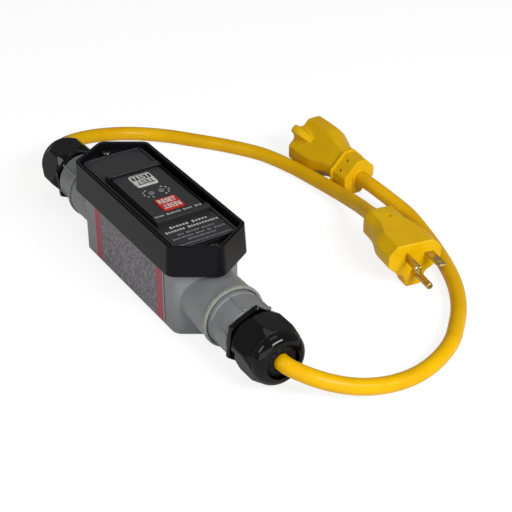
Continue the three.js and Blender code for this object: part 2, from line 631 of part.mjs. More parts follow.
function buildGland(parent, side) {
  const group = new THREE.Group();
  group.position.z = AXIS_HEIGHT;
  if (side === "line") group.rotation.z = Math.PI;
  parent.add(group);

  const ring = [
    [RING_START, RING_RADIUS - RING_WALL], [RING_END, RING_RADIUS - RING_WALL],
    [RING_END, RING_RADIUS - 0.4], [RING_END - 0.5, RING_RADIUS], [RING_START, RING_RADIUS],
  ];
  node(group, `hub_ring_${side}`, turnedAboutX(ring, 36), finishes.paleGrey());
  node(group, `adapter_${side}`, adapterGeometry(), finishes.greyPvc());
  const seat = ADAPTER_END + GAP;
  const washer = [[seat, 14], [seat + WASHER_THICKNESS, 14], [seat + WASHER_THICKNESS, 17], [seat, 17]];
  node(group, `gland_washer_${side}`, turnedAboutX(washer), finishes.rubber());
  node(group, `gland_body_${side}`, glandBodyGeometry(), finishes.glandBlack());
  const sealInner = CORD_RADIUS + GAP;
  const seal = [
    [NECK_END - SEAL_SEAT + GAP, sealInner], [NUT_END - 1, sealInner], [NUT_END - 2, SEAL_RADIUS],
    [NECK_END - SEAL_SEAT + GAP, SEAL_RADIUS],
  ];
  node(group, `gland_seal_${side}`, turnedAboutX(seal), finishes.rubber());
  node(group, `dome_nut_${side}`, domeNutGeometry(), finishes.glandBlack());

  const tubEnd = TUB_SIZE[0] / 2 + GAP;
  const conductors = [["hot", 210, finish(0x151515, 0.4)], ["neutral", 330, finish(0xd8d8d2, 0.4)],
    ["ground", 90, finish(0x1d7a3c, 0.4)]];
  for (const [name, degrees, material] of conductors) {
    const y = WIRE_PITCH * Math.cos(THREE.MathUtils.degToRad(degrees));
    const z = WIRE_PITCH * Math.sin(THREE.MathUtils.degToRad(degrees));
    const rise = (TUB_TOP + TUB_BOTTOM) / 2 - AXIS_HEIGHT - 7;
    const curve = smoothCurve([
      [CORD_START - GAP, y, z], [NUT_START, y, z], [RING_START, y, z], [72, 1.6 * y, z + 1],
      [54, 2.2 * y, z + 0.7 * rise], [38, 2.6 * y, z + rise], [tubEnd, 2.6 * y, z + rise],
    ]);
    node(group, `${name}_wire_${side}`, tubeAlong(curve, WIRE_RADIUS, 6, 12), material);
  }
}

// ---------------------------------------------------------------- plug and connector
// An eight-sided section of the given half width, top and bottom heights and corner chamfer.
function octagon(half, top, bottom, chamfer) {
  const corners = [
    [half - chamfer, -bottom], [half, chamfer - bottom], [half, top - chamfer], [half - chamfer, top],
    [chamfer - half, top], [-half, top - chamfer], [-half, chamfer - bottom], [chamfer - half, -bottom],
  ];
  return roundedOutline(corners.map(([x, y]) => new THREE.Vector2(x, y)), 1.2, 2);
}

// The lobe under the head that holds the ground contact: hollow flanks and a flat tip, sloping away
// into the head at its back end.
function lobeGeometry({ tip, base, depth, length }) {
  const flank = new THREE.QuadraticBezierCurve(
    new THREE.Vector2(base, -HEAD_BOTTOM + 0.4),
    new THREE.Vector2(tip + 0.28 * (base - tip), -HEAD_BOTTOM - 0.25 * depth),
    new THREE.Vector2(tip, -HEAD_BOTTOM - depth),
  ).getPoints(6);
  const right = [new THREE.Vector2(base, -HEAD_BOTTOM + 3), ...flank];
  const left = right.map((point) => new THREE.Vector2(-point.x, point.y)).reverse();
  const outline = [...right, ...left];
  const faded = outline.map(({ x, y }) => (
    new THREE.Vector2(x, y < -HEAD_BOTTOM ? -HEAD_BOTTOM + 0.04 * (y + HEAD_BOTTOM) : y)
  ));
  const back = -length - 0.45 * depth;
  return loft([{ outline: faded, at: back }, { outline, at: -length }, { outline, at: 0 }]).applyMatrix4(ALONG_X);
}

// A body along X through eight-sided sections, listed from the back to the face.
function bodyAlongX(sections) {
  return loft(sections.map(([at, half, top, bottom, chamfer]) => (
    { outline: octagon(half, top, bottom, chamfer), at }
  ))).applyMatrix4(ALONG_X);
}

function bladeGeometry() {
  const half = BLADE_HEIGHT / 2;
  const shape = new THREE.Shape([
    [-BLADE_EMBED, -half], [BLADE_LENGTH - 1, -half], [BLADE_LENGTH, -half + 1], [BLADE_LENGTH, half - 1],
    [BLADE_LENGTH - 1, half], [-BLADE_EMBED, half],
  ].map(([x, y]) => new THREE.Vector2(x, y)));
  shape.holes.push(new THREE.Path().absarc(BLADE_LENGTH - 4.2, 0, BLADE_HOLE, 0, 2 * Math.PI, true));
  const settings = { depth: BLADE_THICKNESS, bevelEnabled: false, curveSegments: 8 };
  return new THREE.ExtrudeGeometry(shape, settings).rotateX(Math.PI / 2).translate(0, BLADE_THICKNESS / 2, 0);
}

function groundPinGeometry() {
  const reach = GROUND_PIN_LENGTH - GROUND_PIN_RADIUS;
  const tip = Array.from({ length: 6 }, (_, i) => {
    const angle = Math.PI / 2 * i / 5;
    return [reach + GROUND_PIN_RADIUS * Math.sin(angle), i === 5 ? 0 : GROUND_PIN_RADIUS * Math.cos(angle)];
  });
  return turnedAboutX([[-BLADE_EMBED, 0], [-BLADE_EMBED, GROUND_PIN_RADIUS], ...tip], 20);
}

function plugGroup() {
  const group = new THREE.Group();
  group.position.set(...PLUG_FACE, HEAD_BOTTOM + PLUG_LOBE.depth);
  group.rotation.z = THREE.MathUtils.degToRad(PLUG_YAW);
  return group;
}

function buildPlug(parent, group) {
  parent.add(group);
  const head = [HEAD_HALF, HEAD_TOP, HEAD_BOTTOM, HEAD_CHAMFER];
  const body = bodyAlongX([
    [-PLUG_LENGTH, 12.4, HEAD_TOP, HEAD_BOTTOM, 4.6], [-42, 12.6, HEAD_TOP, HEAD_BOTTOM, 4.7],
    [-36, 13.2, HEAD_TOP, HEAD_BOTTOM, 4.9], [-30, 15, HEAD_TOP, HEAD_BOTTOM, 5.5],
    [-24, 17.6, HEAD_TOP, HEAD_BOTTOM, 6.2], [-18, 19.2, HEAD_TOP, HEAD_BOTTOM, 6.6], [0, ...head],
  ]);
  const middle = (HEAD_TOP - HEAD_BOTTOM) / 2;
  const boss = cylinderAlongX(BOSS_RADIUS, -PLUG_LENGTH - BOSS_LENGTH, -PLUG_LENGTH + 1, 0, middle, 24);
  const depth = BLADE_EMBED + GAP;
  const pocket = [depth + 1, BLADE_THICKNESS + 2 * GAP, BLADE_HEIGHT + 2 * GAP];
  const x = (1 - depth) / 2;
  const pockets = [
    block(pocket[0], pocket[1], pocket[2], x, -LINE_BLADE_OFFSET, 0),
    block(pocket[0], pocket[2], pocket[1], x, NEUTRAL_BLADE_OFFSET, 0),
    cylinderAlongX(GROUND_PIN_RADIUS + GAP, -depth, 1, 0, -GROUND_OFFSET, 20),
  ];
  const dimple = cylinderAlongZ(1.7, HEAD_TOP - 0.5, HEAD_TOP + 1, -39, 0, 16);
  node(group, "plug_body", carve(body, [lobeGeometry(PLUG_LOBE), boss], [...pockets, dimple]), finishes.yellow());
  node(group, "line_blade", bladeGeometry(), finishes.brass()).position.y = -LINE_BLADE_OFFSET;
  const neutral = node(group, "neutral_blade", bladeGeometry(), finishes.brass());
  neutral.position.y = NEUTRAL_BLADE_OFFSET;
  neutral.rotation.x = Math.PI / 2;
  node(group, "ground_pin", groundPinGeometry(), finishes.brass()).position.z = -GROUND_OFFSET;
}

function connectorGroup() {
  const group = new THREE.Group();
  const chamferReach = (2 * HEAD_HALF - HEAD_CHAMFER + 2 * HEAD_TOP - HEAD_CHAMFER) / (2 * Math.SQRT2);
  group.position.set(...CONNECTOR_FACE, chamferReach + 0.05);
  const roll = THREE.MathUtils.degToRad(CONNECTOR_ROLL);
  const [c, s] = [Math.cos(roll), Math.sin(roll)];
  group.setRotationFromMatrix(new THREE.Matrix4().makeBasis(
    new THREE.Vector3(-1, 0, 0), new THREE.Vector3(0, c, s), new THREE.Vector3(0, s, -c),
  ));
  return group;
}

// A sprung clip that takes a blade: two leaves joined at the back.
function clipGeometry(width, height, slotWidth) {
  const length = SOCKET_DEPTH - 2 * GAP;
  const x = -SOCKET_WALL - GAP - length / 2;
  const clip = block(length, width, height, x, 0, 0);
  return carve(clip, [], [block(length - 1, slotWidth, height + 2, x + 1, 0, 0)]);
}

function buildConnector(parent, group) {
  parent.add(group);
  const head = [HEAD_HALF, HEAD_TOP, HEAD_BOTTOM, HEAD_CHAMFER];
  const collarEnd = COLLAR_START + COLLAR_WIDTH;
  const body = bodyAlongX([
    [-COLLAR_START - 0.1, 12, HEAD_TOP, HEAD_BOTTOM, 5], [-47, 12.5, HEAD_TOP, HEAD_BOTTOM, 5],
    [-40, 14, HEAD_TOP, HEAD_BOTTOM, 5.4], [-34, 16.6, HEAD_TOP, HEAD_BOTTOM, 6],
    [-27, 19, HEAD_TOP, HEAD_BOTTOM, 6.6], [0, ...head],
  ]);
  const collar = bodyAlongX([
    [-collarEnd, 13.4, 10, 12.4, 5.6], [-COLLAR_START, 13.4, 10, 12.4, 5.6],
  ]);
  const neck = bodyAlongX([[-CONNECTOR_LENGTH, 11.4, 8.6, 10.8, 4.8], [-collarEnd + 0.5, 11.4, 8.6, 10.8, 4.8]]);
  const middle = (HEAD_TOP - HEAD_BOTTOM) / 2 + 0.3;
  const boss = cylinderAlongX(BOSS_RADIUS, -CONNECTOR_LENGTH - BOSS_LENGTH, -CONNECTOR_LENGTH + 1, 0, middle, 24);
  const vents = [-4.3, 4.3].map((y) => cylinderAlongZ(0.8, -11.5, -9.6, -COLLAR_START - 8, y, 10));

  const slot = [BLADE_THICKNESS + 0.6, BLADE_HEIGHT + 1];
  const faceCut = SOCKET_WALL + 1;
  const faceX = (1 - SOCKET_WALL) / 2;
  const roomX = -SOCKET_WALL - SOCKET_DEPTH / 2;
  const clips = { line: [4.4, 8], neutral: [9.2, 8] };
  const sockets = [
    block(faceCut, slot[0], slot[1], faceX, LINE_BLADE_OFFSET, 0),
    block(SOCKET_DEPTH + 0.2, clips.line[0] + 2 * GAP, clips.line[1] + 2 * GAP, roomX, LINE_BLADE_OFFSET, 0),
    block(faceCut, slot[0], slot[1], faceX, -LINE_BLADE_OFFSET, 0),
    block(faceCut, slot[1], slot[0], faceX, -NEUTRAL_BLADE_OFFSET + 0.2, 0),
    block(SOCKET_DEPTH + 0.2, clips.neutral[0] + 2 * GAP, clips.neutral[1] + 2 * GAP, roomX, -8.6, 0),
    cylinderAlongX(GROUND_PIN_RADIUS + 0.2, -faceCut, 1, 0, -GROUND_OFFSET, 20),
    cylinderAlongX(3.4, -SOCKET_WALL - SOCKET_DEPTH, -SOCKET_WALL, 0, -GROUND_OFFSET, 20),
  ];
  const added = [lobeGeometry(CONNECTOR_LOBE), collar, neck, boss];
  node(group, "connector_body", carve(body, added, [...sockets, ...vents]), finishes.yellow());

  const line = node(group, "line_contact", clipGeometry(...clips.line, slot[0] - 0.3), finishes.brass());
  line.position.y = LINE_BLADE_OFFSET;
  const neutral = node(group, "neutral_contact", clipGeometry(...clips.neutral, slot[1]), finishes.brass());
  neutral.position.y = -8.6;
  const sleeve = cylinderAlongX(3.1, -SOCKET_WALL - SOCKET_DEPTH + GAP, -SOCKET_WALL - GAP, 0, -GROUND_OFFSET, 20);
  const bore = cylinderAlongX(GROUND_PIN_RADIUS + 0.1, -SOCKET_WALL - SOCKET_DEPTH + 2, 1, 0, -GROUND_OFFSET, 20);
  node(group, "ground_contact", carve(sleeve, [], [bore]), finishes.brass());
}

// ---------------------------------------------------------------- cords
// The last points of a route: straight out of the back of the plug or connector.
function endPoints(group, length) {
  group.updateMatrixWorld(true);
  const middle = (HEAD_TOP - HEAD_BOTTOM) / 2;
  const distances = [length + BOSS_LENGTH + 14, length + BOSS_LENGTH + 7, length + BOSS_LENGTH + GAP];
  return distances.map((x) => group.localToWorld(new THREE.Vector3(-x, 0, middle)).toArray());
}

function cordGeometry(side, route, group, length) {
  const inside = [CORD_START, CORD_START + 9].map((x) => [side * x, 0, AXIS_HEIGHT]);
  const shift = side * (HUB_END - ROUTE_HUB_END);
  const placed = route.map(([x, y, z]) => [x + shift * Math.max(0, 1 - y / ROUTE_REACH), y, z]);
  const curve = smoothCurve([...inside, ...placed, ...endPoints(group, length)]);
  return tubeAlong(curve, CORD_RADIUS, 8, 36);
}

// ---------------------------------------------------------------- the whole cord set
function buildCordSet() {
  const set = new THREE.Group();
  set.name = "inline_ground_fault_cord_set";
  buildBox(set);
  buildFace(set);
  buildModule(set);
  buildGland(set, "load");
  buildGland(set, "line");
  const plug = plugGroup();
  const connector = connectorGroup();
  buildPlug(set, plug);
  buildConnector(set, connector);
  node(set, "cord_load", cordGeometry(1, LOAD_ROUTE, connector, CONNECTOR_LENGTH), finishes.cordYellow());
  node(set, "cord_line", cordGeometry(-1, LINE_ROUTE, plug, PLUG_LENGTH), finishes.cordYellow());
  return set;
}

export default buildCordSet();
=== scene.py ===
"""Looks of an in-line ground fault cord set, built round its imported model.

A grey feed-through box carries a black six-sided cover with a test key and a reset key. A cable gland
stands at each end, and each gland lets out a short yellow cord: one runs to a grounded plug, the other to
a grounded connector. Sizes here are in millimetres; pieces are laid down in metres.
"""
import logging
import math
from collections.abc import Callable, Mapping, Sequence
from dataclasses import dataclass, field
from enum import Enum

import bmesh
import bpy
from mathutils import Matrix, Vector


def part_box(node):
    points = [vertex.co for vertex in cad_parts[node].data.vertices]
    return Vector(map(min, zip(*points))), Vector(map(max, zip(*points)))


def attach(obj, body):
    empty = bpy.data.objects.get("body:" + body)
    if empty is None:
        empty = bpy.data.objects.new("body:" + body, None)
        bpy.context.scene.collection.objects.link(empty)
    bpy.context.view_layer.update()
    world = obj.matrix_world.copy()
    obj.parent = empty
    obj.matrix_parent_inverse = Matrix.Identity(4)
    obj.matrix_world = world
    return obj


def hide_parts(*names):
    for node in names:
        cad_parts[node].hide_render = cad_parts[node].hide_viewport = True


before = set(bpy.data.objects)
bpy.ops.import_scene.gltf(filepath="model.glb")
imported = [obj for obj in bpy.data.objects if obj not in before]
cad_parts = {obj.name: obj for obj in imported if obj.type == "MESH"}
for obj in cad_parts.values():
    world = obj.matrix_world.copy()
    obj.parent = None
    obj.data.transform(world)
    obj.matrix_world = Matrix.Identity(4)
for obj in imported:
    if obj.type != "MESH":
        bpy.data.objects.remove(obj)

LOG = logging.getLogger("cord_set")
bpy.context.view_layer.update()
MM = 0.001
AXIS_HEIGHT = 23.7
WHITE = (1.0, 1.0, 1.0, 1.0)
# Lays a shape that is drawn along its own height along X.
ALONG_X = Matrix(((0, 0, 1, 0), (1, 0, 0, 0), (0, 1, 0, 0), (0, 0, 0, 1)))

Flat = tuple[float, float]
Outline = list[Flat]
OutlineAt = Callable[[float], Outline]
Route = list[tuple[float, float, float]]


class Side(Enum):
    """The two ends of the box, by the sign of X that each lies at."""

    LOAD = 1
    LINE = -1

    @property
    def word(self) -> str:
        """The end's name as node names spell it."""
        return self.name.lower()

    @property
    def turn(self) -> Matrix:
        """The turn that carries the load end's shapes to this end."""
        return Matrix.Rotation(0 if self is Side.LOAD else math.pi, 4, "Z")


# ---------------------------------------------------------------- shader maths
def linear(code: str) -> tuple[float, float, float, float]:
    """Turns a screen colour into the linear light that shaders use.

    Args:
        code: six hexadecimal digits, red first.

    Returns:
        Red, green, blue and alpha, from 0 to 1.
    """
    parts = [int(code[i : i + 2], 16) / 255 for i in (0, 2, 4)]
    light = [p / 12.92 if p <= 0.04045 else ((p + 0.055) / 1.055) ** 2.4 for p in parts]
    return (light[0], light[1], light[2], 1.0)


class Signal:
    """One output socket of a material's nodes, with arithmetic that adds Math nodes."""

    def __init__(self, tree: "Shader", socket: bpy.types.NodeSocket) -> None:
        """Holds the socket and the tree that it belongs to."""
        self.tree = tree
        self.socket = socket

    def _maths(self, operation: str, first: "Signal | float", second: "Signal | float") -> "Signal":
        """Adds one Math node and gives its result."""
        return self.tree.node("ShaderNodeMath", {"operation": operation}, {0: first, 1: second})

    def __add__(self, other: "Signal | float") -> "Signal":
        """self + other."""
        return self._maths("ADD", self, other)

    def __radd__(self, other: float) -> "Signal":
        """other + self."""
        return self._maths("ADD", other, self)

    def __sub__(self, other: "Signal | float") -> "Signal":
        """self - other."""
        return self._maths("SUBTRACT", self, other)

    def __rsub__(self, other: float) -> "Signal":
        """other - self."""
        return self._maths("SUBTRACT", other, self)

    def __mul__(self, other: "Signal | float") -> "Signal":
        """self * other."""
        return self._maths("MULTIPLY", self, other)

    def __rmul__(self, other: float) -> "Signal":
        """other * self."""
        return self._maths("MULTIPLY", other, self)

    def __gt__(self, other: "Signal | float") -> "Signal":
        """1 where self is above other, else 0."""
        return self._maths("GREATER_THAN", self, other)

    def __lt__(self, other: "Signal | float") -> "Signal":
        """1 where self is below other, else 0."""
        return self._maths("LESS_THAN", self, other)

    def __abs__(self) -> "Signal":
        """The value without its sign."""
        return self._maths("ABSOLUTE", self, 0.0)

    def or_more(self, other: "Signal | float") -> "Signal":
        """The larger of self and other."""
        return self._maths("MAXIMUM", self, other)

    def ramp(self, low: float, high: float) -> "Signal":
        """Rises smoothly from 0 at low to 1 at high."""
        settings = {"interpolation_type": "SMOOTHSTEP"}
        return self.tree.node("ShaderNodeMapRange", settings, {0: self, 1: low, 2: high})


class Shader:
    """The node tree of a material or of the world, built through one method."""

    def __init__(self, owner: bpy.types.Material | bpy.types.World) -> None:
        """Starts an empty tree.

        Args:
            owner: what the tree is for.
        """
        owner.use_nodes = True
        self.nodes = owner.node_tree.nodes
        self.links = owner.node_tree.links
        self.nodes.clear()

    def node(
        self,
        kind: str,
        settings: Mapping[str, object] | None = None,
        inputs: Mapping[int | str, object] | None = None,
        output: int | str = 0,
    ) -> Signal:
        """Adds a node of any type.

        Args:
            kind: the node's type name.
            settings: its properties, which are set first.
            inputs: a value or a Signal for each of its sockets, by name or number.
            output: the socket to hand back.

        Returns:
            The chosen output.
        """
        made = self.nodes.new(kind)
        for name, value in (settings or {}).items():
            setattr(made, name, value)
        for name, value in (inputs or {}).items():
            if isinstance(value, Signal):
                self.links.new(value.socket, made.inputs[name])
            else:
                made.inputs[name].default_value = value
        return Signal(self, made.outputs[output] if made.outputs else made.inputs[0])

    def place(self) -> Signal:
        """The point on the piece, in metres in the row frame."""
        return self.node("ShaderNodeTexCoord", output="Object")

    def noise(self, scale: float, detail: float = 3.0, stretch: Sequence[float] = (1, 1, 1)) -> Signal:
        """Cloudy noise over the piece.

        Args:
            scale: features per metre.
            detail: octaves.
            stretch: a factor for each axis.

        Returns:
            The noise's value, about 0.5.
        """
        where = self.place()
        if tuple(stretch) != (1, 1, 1):
            where = self.node("ShaderNodeMapping", None, {"Vector": where, "Scale": stretch})
        return self.node("ShaderNodeTexNoise", None, {"Vector": where, "Scale": scale, "Detail": detail})

    def cells(self, scale: float, stretch: Sequence[float]) -> Signal:
        """The distance to the nearest cell's point, with scale cells per metre, stretched along each axis."""
        where = self.node("ShaderNodeMapping", None, {"Vector": self.place(), "Scale": stretch})
        return self.node("ShaderNodeTexVoronoi", {"feature": "F1"}, {"Vector": where, "Scale": scale})

    def axis(self, index: int) -> Signal:
        """One coordinate of the point on the piece, in metres, by its number."""
        return self.node("ShaderNodeSeparateXYZ", None, {0: self.place()}, index)

    def mix(self, factor: "Signal | float", first: object, second: object) -> Signal:
        """Blends two colours: a factor of 0 gives the first, 1 the second."""
        return self.node("ShaderNodeMix", {"data_type": "RGBA"}, {0: factor, 6: first, 7: second}, 2)

    def bump(self, height: Signal, distance: float) -> Signal:
        """A normal bent by a height, where a height of 1 stands at the distance, in metres."""
        return self.node("ShaderNodeBump", None, {"Height": height, "Distance": distance, "Strength": 1.0})

    def seen(self, mirrored: float) -> Signal:
        """Tells the rays that meet the camera, straight or through glass, from the rest.

        Args:
            mirrored: the share a reflection gets.

        Returns:
            1 where the camera looks, and the share in a reflection.
        """
        straight, glossy, through = (
            self.node("ShaderNodeLightPath", output=f"Is {kind} Ray")
            for kind in ("Camera", "Glossy", "Transmission")
        )
        return straight.or_more(glossy * mirrored).or_more(through)

    def mix_shaders(self, factor: "Signal | float", first: Signal, second: Signal) -> Signal:
        """Blends two shaders: a factor of 0 gives the first, 1 the second."""
        return self.node("ShaderNodeMixShader", None, {0: factor, 1: first, 2: second})


# ---------------------------------------------------------------- finishes
@dataclass(frozen=True)
class Finish:
    """A solid plastic or rubber surface: colour with cloudy variation, and a moulded grain."""

    name: str
    colour: str
    slot: str
    shade: str = ""
    roughness: float = 0.5
    spread: float = 0.06
    grain: float = 0.0
    grain_size: float = 0.4
    cloud_size: float = 14.0
    coat: float = 0.0
    coat_roughness: float = 0.12
    specular: float = 0.5
    metallic: float = 0.0

    def paint(self, shader: Shader) -> Signal:
        """The surface's colour."""
        cloud = shader.noise(1 / (self.cloud_size * MM), 4.0).ramp(0.35, 0.68)
        return shader.mix(cloud, linear(self.colour), linear(self.shade or self.colour))

    def gloss(self, shader: Shader) -> Signal:
        """The surface's roughness."""
        wear = shader.noise(1 / (0.4 * self.cloud_size * MM), 5.0)
        return (wear - 0.5) * (2 * self.spread) + self.roughness

    def relief(self, shader: Shader) -> Signal | None:
        """Bends the surface by its grain.

        Args:
            shader: the finish's shader.

        Returns:
            The bent normal, or None where there is no grain.
        """
        if not self.grain:
            return None
        return shader.bump(shader.noise(1 / (self.grain_size * MM), 2.0), self.grain * MM)

    def material(self) -> bpy.types.Material:
        """Makes the finish as a material, once.

        Returns:
            The material.
        """
        title = f"{self.name}_finish"
        found = bpy.data.materials.get(title)
        if found:
            return found
        made = bpy.data.materials.new(title)
        shader = Shader(made)
        inputs: dict[str, object] = {
            "Base Color": self.paint(shader),
            "Roughness": self.gloss(shader),
            "Metallic": self.metallic,
            "Coat Weight": self.coat,
            "Coat Roughness": self.coat_roughness,
            "Specular IOR Level": self.specular,
        }
        normal = self.relief(shader)
        if normal:
            inputs["Normal"] = normal
        surface = shader.node("ShaderNodeBsdfPrincipled", None, inputs)
        shader.node("ShaderNodeOutputMaterial", None, {"Surface": surface})
        return made


@dataclass(frozen=True)
class Metal(Finish):
    """Drawn or plated metal, with fine lines along its length and dull spots of tarnish."""

    metallic: float = 1.0
    lines: float = 0.004
    stretch: tuple[float, float, float] = (0.06, 1.0, 1.0)

    def paint(self, shader: Shader) -> Signal:
        """The bare metal with its tarnish."""
        spots = shader.noise(1 / (self.cloud_size * MM), 6.0).ramp(0.42, 0.66)
        return shader.mix(spots, linear(self.colour), linear(self.shade or self.colour))

    def relief(self, shader: Shader) -> Signal:
        """Fine drawn lines."""
        return shader.bump(shader.noise(9000.0, 2.0, self.stretch), self.lines * MM)


@dataclass(frozen=True)
class PrintedPanel(Finish):
    """A printed sticker: a grey ground full of small flecks, with a coloured band at each end."""

    middle: float = 0.0
    band_from: float = 38.0
    band_to: float = 46.6

    def paint(self, shader: Shader) -> Signal:
        """Prints the ground, its flecks and its bands.

        Args:
            shader: the finish's shader.

        Returns:
            The colour.
        """
        off = abs((shader.axis(0) - self.middle * MM) * (1 / MM))
        fine = shader.cells(820.0, (1.0, 1.0, 0.55)).ramp(0.30, 0.55)
        large = shader.noise(260.0, 3.0).ramp(0.52, 0.66)
        rows = shader.noise(900.0, 2.0, (2.2, 1.0, 0.5)).ramp(0.50, 0.62)
        ground = shader.mix(rows * 0.75, linear("5b575e"), linear("25232a"))
        flecked = shader.mix((1 - fine) * 0.38, ground, linear("b0afb5"))
        blotched = shader.mix(large * 0.35, flecked, linear("94939a"))
        marks = shader.noise(700.0, 2.0, (2.6, 1.0, 0.45)).ramp(0.58, 0.64)
        red = shader.mix(marks * 0.8, linear("9c3141"), linear("4a2530"))
        band = (off > self.band_from) * (off < self.band_to)
        panel = shader.mix(band, blotched, red)
        return shader.mix(off > self.band_to, panel, linear("8f8e94"))


@dataclass(frozen=True)
class Finishes:
    """Every finish of the cord set: name, colour, slot, second colour, roughness, and so on as in Finish."""

    grey_pvc: Finish = Finish(
        "grey_pvc", "7e7f80", "grey_pvc", "757677", 0.34, 0.08, 0.012, 0.7, 22.0, specular=0.36
    )
    pale_grey: Finish = Finish(
        "pale_grey", "8d8f87", "pale_grey", "7f817a", 0.4, 0.08, 0.02, 0.5, 3.0, specular=0.3
    )
    cover_black: Finish = Finish(
        "cover_black", "100f12", "cover_black", "0e0d10", 0.3, 0.05, 0.004, 0.35, 20.0, specular=0.12
    )
    bezel_black: Finish = Finish(
        "bezel_black", "0f0e11", "cover_black", "0d0c0f", 0.38, 0.05, 0.006, 0.35, specular=0.55
    )
    face_black: Finish = Finish(
        "face_black", "141317", "face_black", "121115", 0.44, 0.05, 0.010, 0.3, 16.0, specular=0.6
    )
    gland_black: Finish = Finish(
        "gland_black", "050506", "gland_black", "070708", 0.3, 0.05, coat=0.48, coat_roughness=0.05,
        specular=0.0
    )
    seal_rubber: Finish = Finish(
        "seal_rubber", "121112", "seal_rubber", "181717", 0.5, 0.08, 0.02, 0.5, 5.0, specular=0.12
    )
    plug_yellow: Finish = Finish(
        "plug_yellow", "e0b102", "plug_yellow", "daa900", 0.4, 0.06, 0.012, 0.5, 18.0, coat=0.3,
        coat_roughness=0.3, specular=0.03
    )
    cord_yellow: Finish = Finish(
        "cord_yellow", "e2ae00", "cord_yellow", "daa400", 0.34, 0.06, 0.02, 2.2, 26.0, coat=0.26,
        coat_roughness=0.32, specular=0.03
    )
    key_white: Finish = Finish(
        "key_white", "c9c9c3", "key_white", "bfbfb9", 0.45, 0.05, 0.01, 0.3, specular=0.3
    )
    key_red: Finish = Finish("key_red", "b5201a", "key_red", "a81a15", 0.36, 0.05, 0.01, 0.3, specular=0.3)
    print_white: Finish = Finish("print_white", "d6d6d0", "key_white", "c9c9c4", 0.5, 0.05, specular=0.2)
    print_pale: Finish = Finish("print_pale", "b6b6b3", "key_white", "a8a8a5", 0.5, 0.05, specular=0.2)
    print_grey: Finish = Finish("print_grey", "88878a", "key_white", "7c7b7f", 0.5, 0.05, specular=0.2)
    print_black: Finish = Finish("print_black", "1d1c1f", "key_white", "242326", 0.5, 0.05, specular=0.2)
    lens: Finish = Finish("lens", "6a696c", "lens", "626164", 0.25, 0.05, specular=0.5)
    brass: Metal = Metal("brass", "c2aa68", "brass", "a68a4a", 0.24, 0.06, cloud_size=9.0, lines=0.002)
    steel: Metal = Metal("steel", "a8a8a8", "steel", "6f6d6a", 0.28, 0.1, cloud_size=2.0)
    # Painted shade: the screws' metal is darkened to stand in for the shade of the recesses that they sit in.
    screw_metal_painted_shade: Metal = Metal("screw_metal_painted_shade", "6a665f", "steel", "34322f", 0.3, 0.1, cloud_size=1.2)
    copper: Metal = Metal("copper", "b36a3c", "copper", "96522c", 0.3, 0.08, cloud_size=3.0)
    board_green: Finish = Finish("board_green", "1c5a34", "board_green", "174a2b", 0.4, 0.06, 0.02, 1.0)
    wire_black: Finish = Finish("wire_black", "161616", "wire_black", "1c1c1c", 0.4)
    wire_white: Finish = Finish("wire_white", "d8d8d2", "wire_white", "cbcbc5", 0.4)
    wire_green: Finish = Finish("wire_green", "1d7a3c", "wire_green", "186a34", 0.4)
    module_black: Finish = Finish("module_black", "222124", "cover_black", "1c1b1e", 0.5, 0.06, 0.01)

FINISHES = Finishes()


# ---------------------------------------------------------------- shaping in millimetres
def fillet(corners: Sequence[Flat], radii: Sequence[float], steps: int, closed: bool) -> Outline:
    """Rounds a line's corners with true arcs.

    Args:
        corners: the line's corners, in order.
        radii: a radius for each corner.
        steps: straight pieces in each arc.
        closed: whether the last corner joins the first.

    Returns:
        The rounded line. Each rounded corner gives steps + 1 points, and an open line keeps its ends.
    """
    count = len(corners)
    points: Outline = []
    for i, (corner, radius) in enumerate(zip(corners, radii)):
        if not closed and i in (0, count - 1):
            points.append((corner[0], corner[1]))
            continue
        here = Vector(corner)
        back = Vector(corners[i - 1]) - here
        on = Vector(corners[(i + 1) % count]) - here
        half = back.angle(on) / 2
        reach = min(radius / math.tan(half), 0.49 * back.length, 0.49 * on.length)
        true_radius = reach * math.tan(half)
        bisector = (back.normalized() + on.normalized()).normalized()
        centre = here + bisector * (true_radius / math.sin(half))
        start = here + back.normalized() * reach - centre
        end = here + on.normalized() * reach - centre
        turn = math.atan2(start.x * end.y - start.y * end.x, start.dot(end))
        for step in range(steps + 1):
            angle = turn * step / steps
            c, s = math.cos(angle), math.sin(angle)
            points.append((centre.x + start.x * c - start.y * s, centre.y + start.x * s + start.y * c))
    return points


def moulded(profile: Sequence[tuple[float, float, float]], steps: int = 4) -> Outline:
    """Rounds an open profile of (inset, height, radius) corners."""
    return fillet([(a, b) for a, b, _ in profile], [r for _, _, r in profile], steps, False)


def box_outline(length: float, width: float, radius: float, steps: int = 6) -> OutlineAt:
    """A rounded rectangle that can be moved in on every side.

    Args:
        length: its size along X.
        width: its size along Y.
        radius: its corner radius.
        steps: straight pieces in each corner.

    Returns:
        A function from inset to outline.
    """

    def at(inset: float) -> Outline:
        """Draws the outline at one inset.

        Args:
            inset: how far in.

        Returns:
            The outline.
        """
        x, y = length / 2 - inset, width / 2 - inset
        corners = [(x, -y), (x, y), (-x, y), (-x, -y)]
        return fillet(corners, [max(radius - inset, 0.15)] * 4, steps, True)

    return at


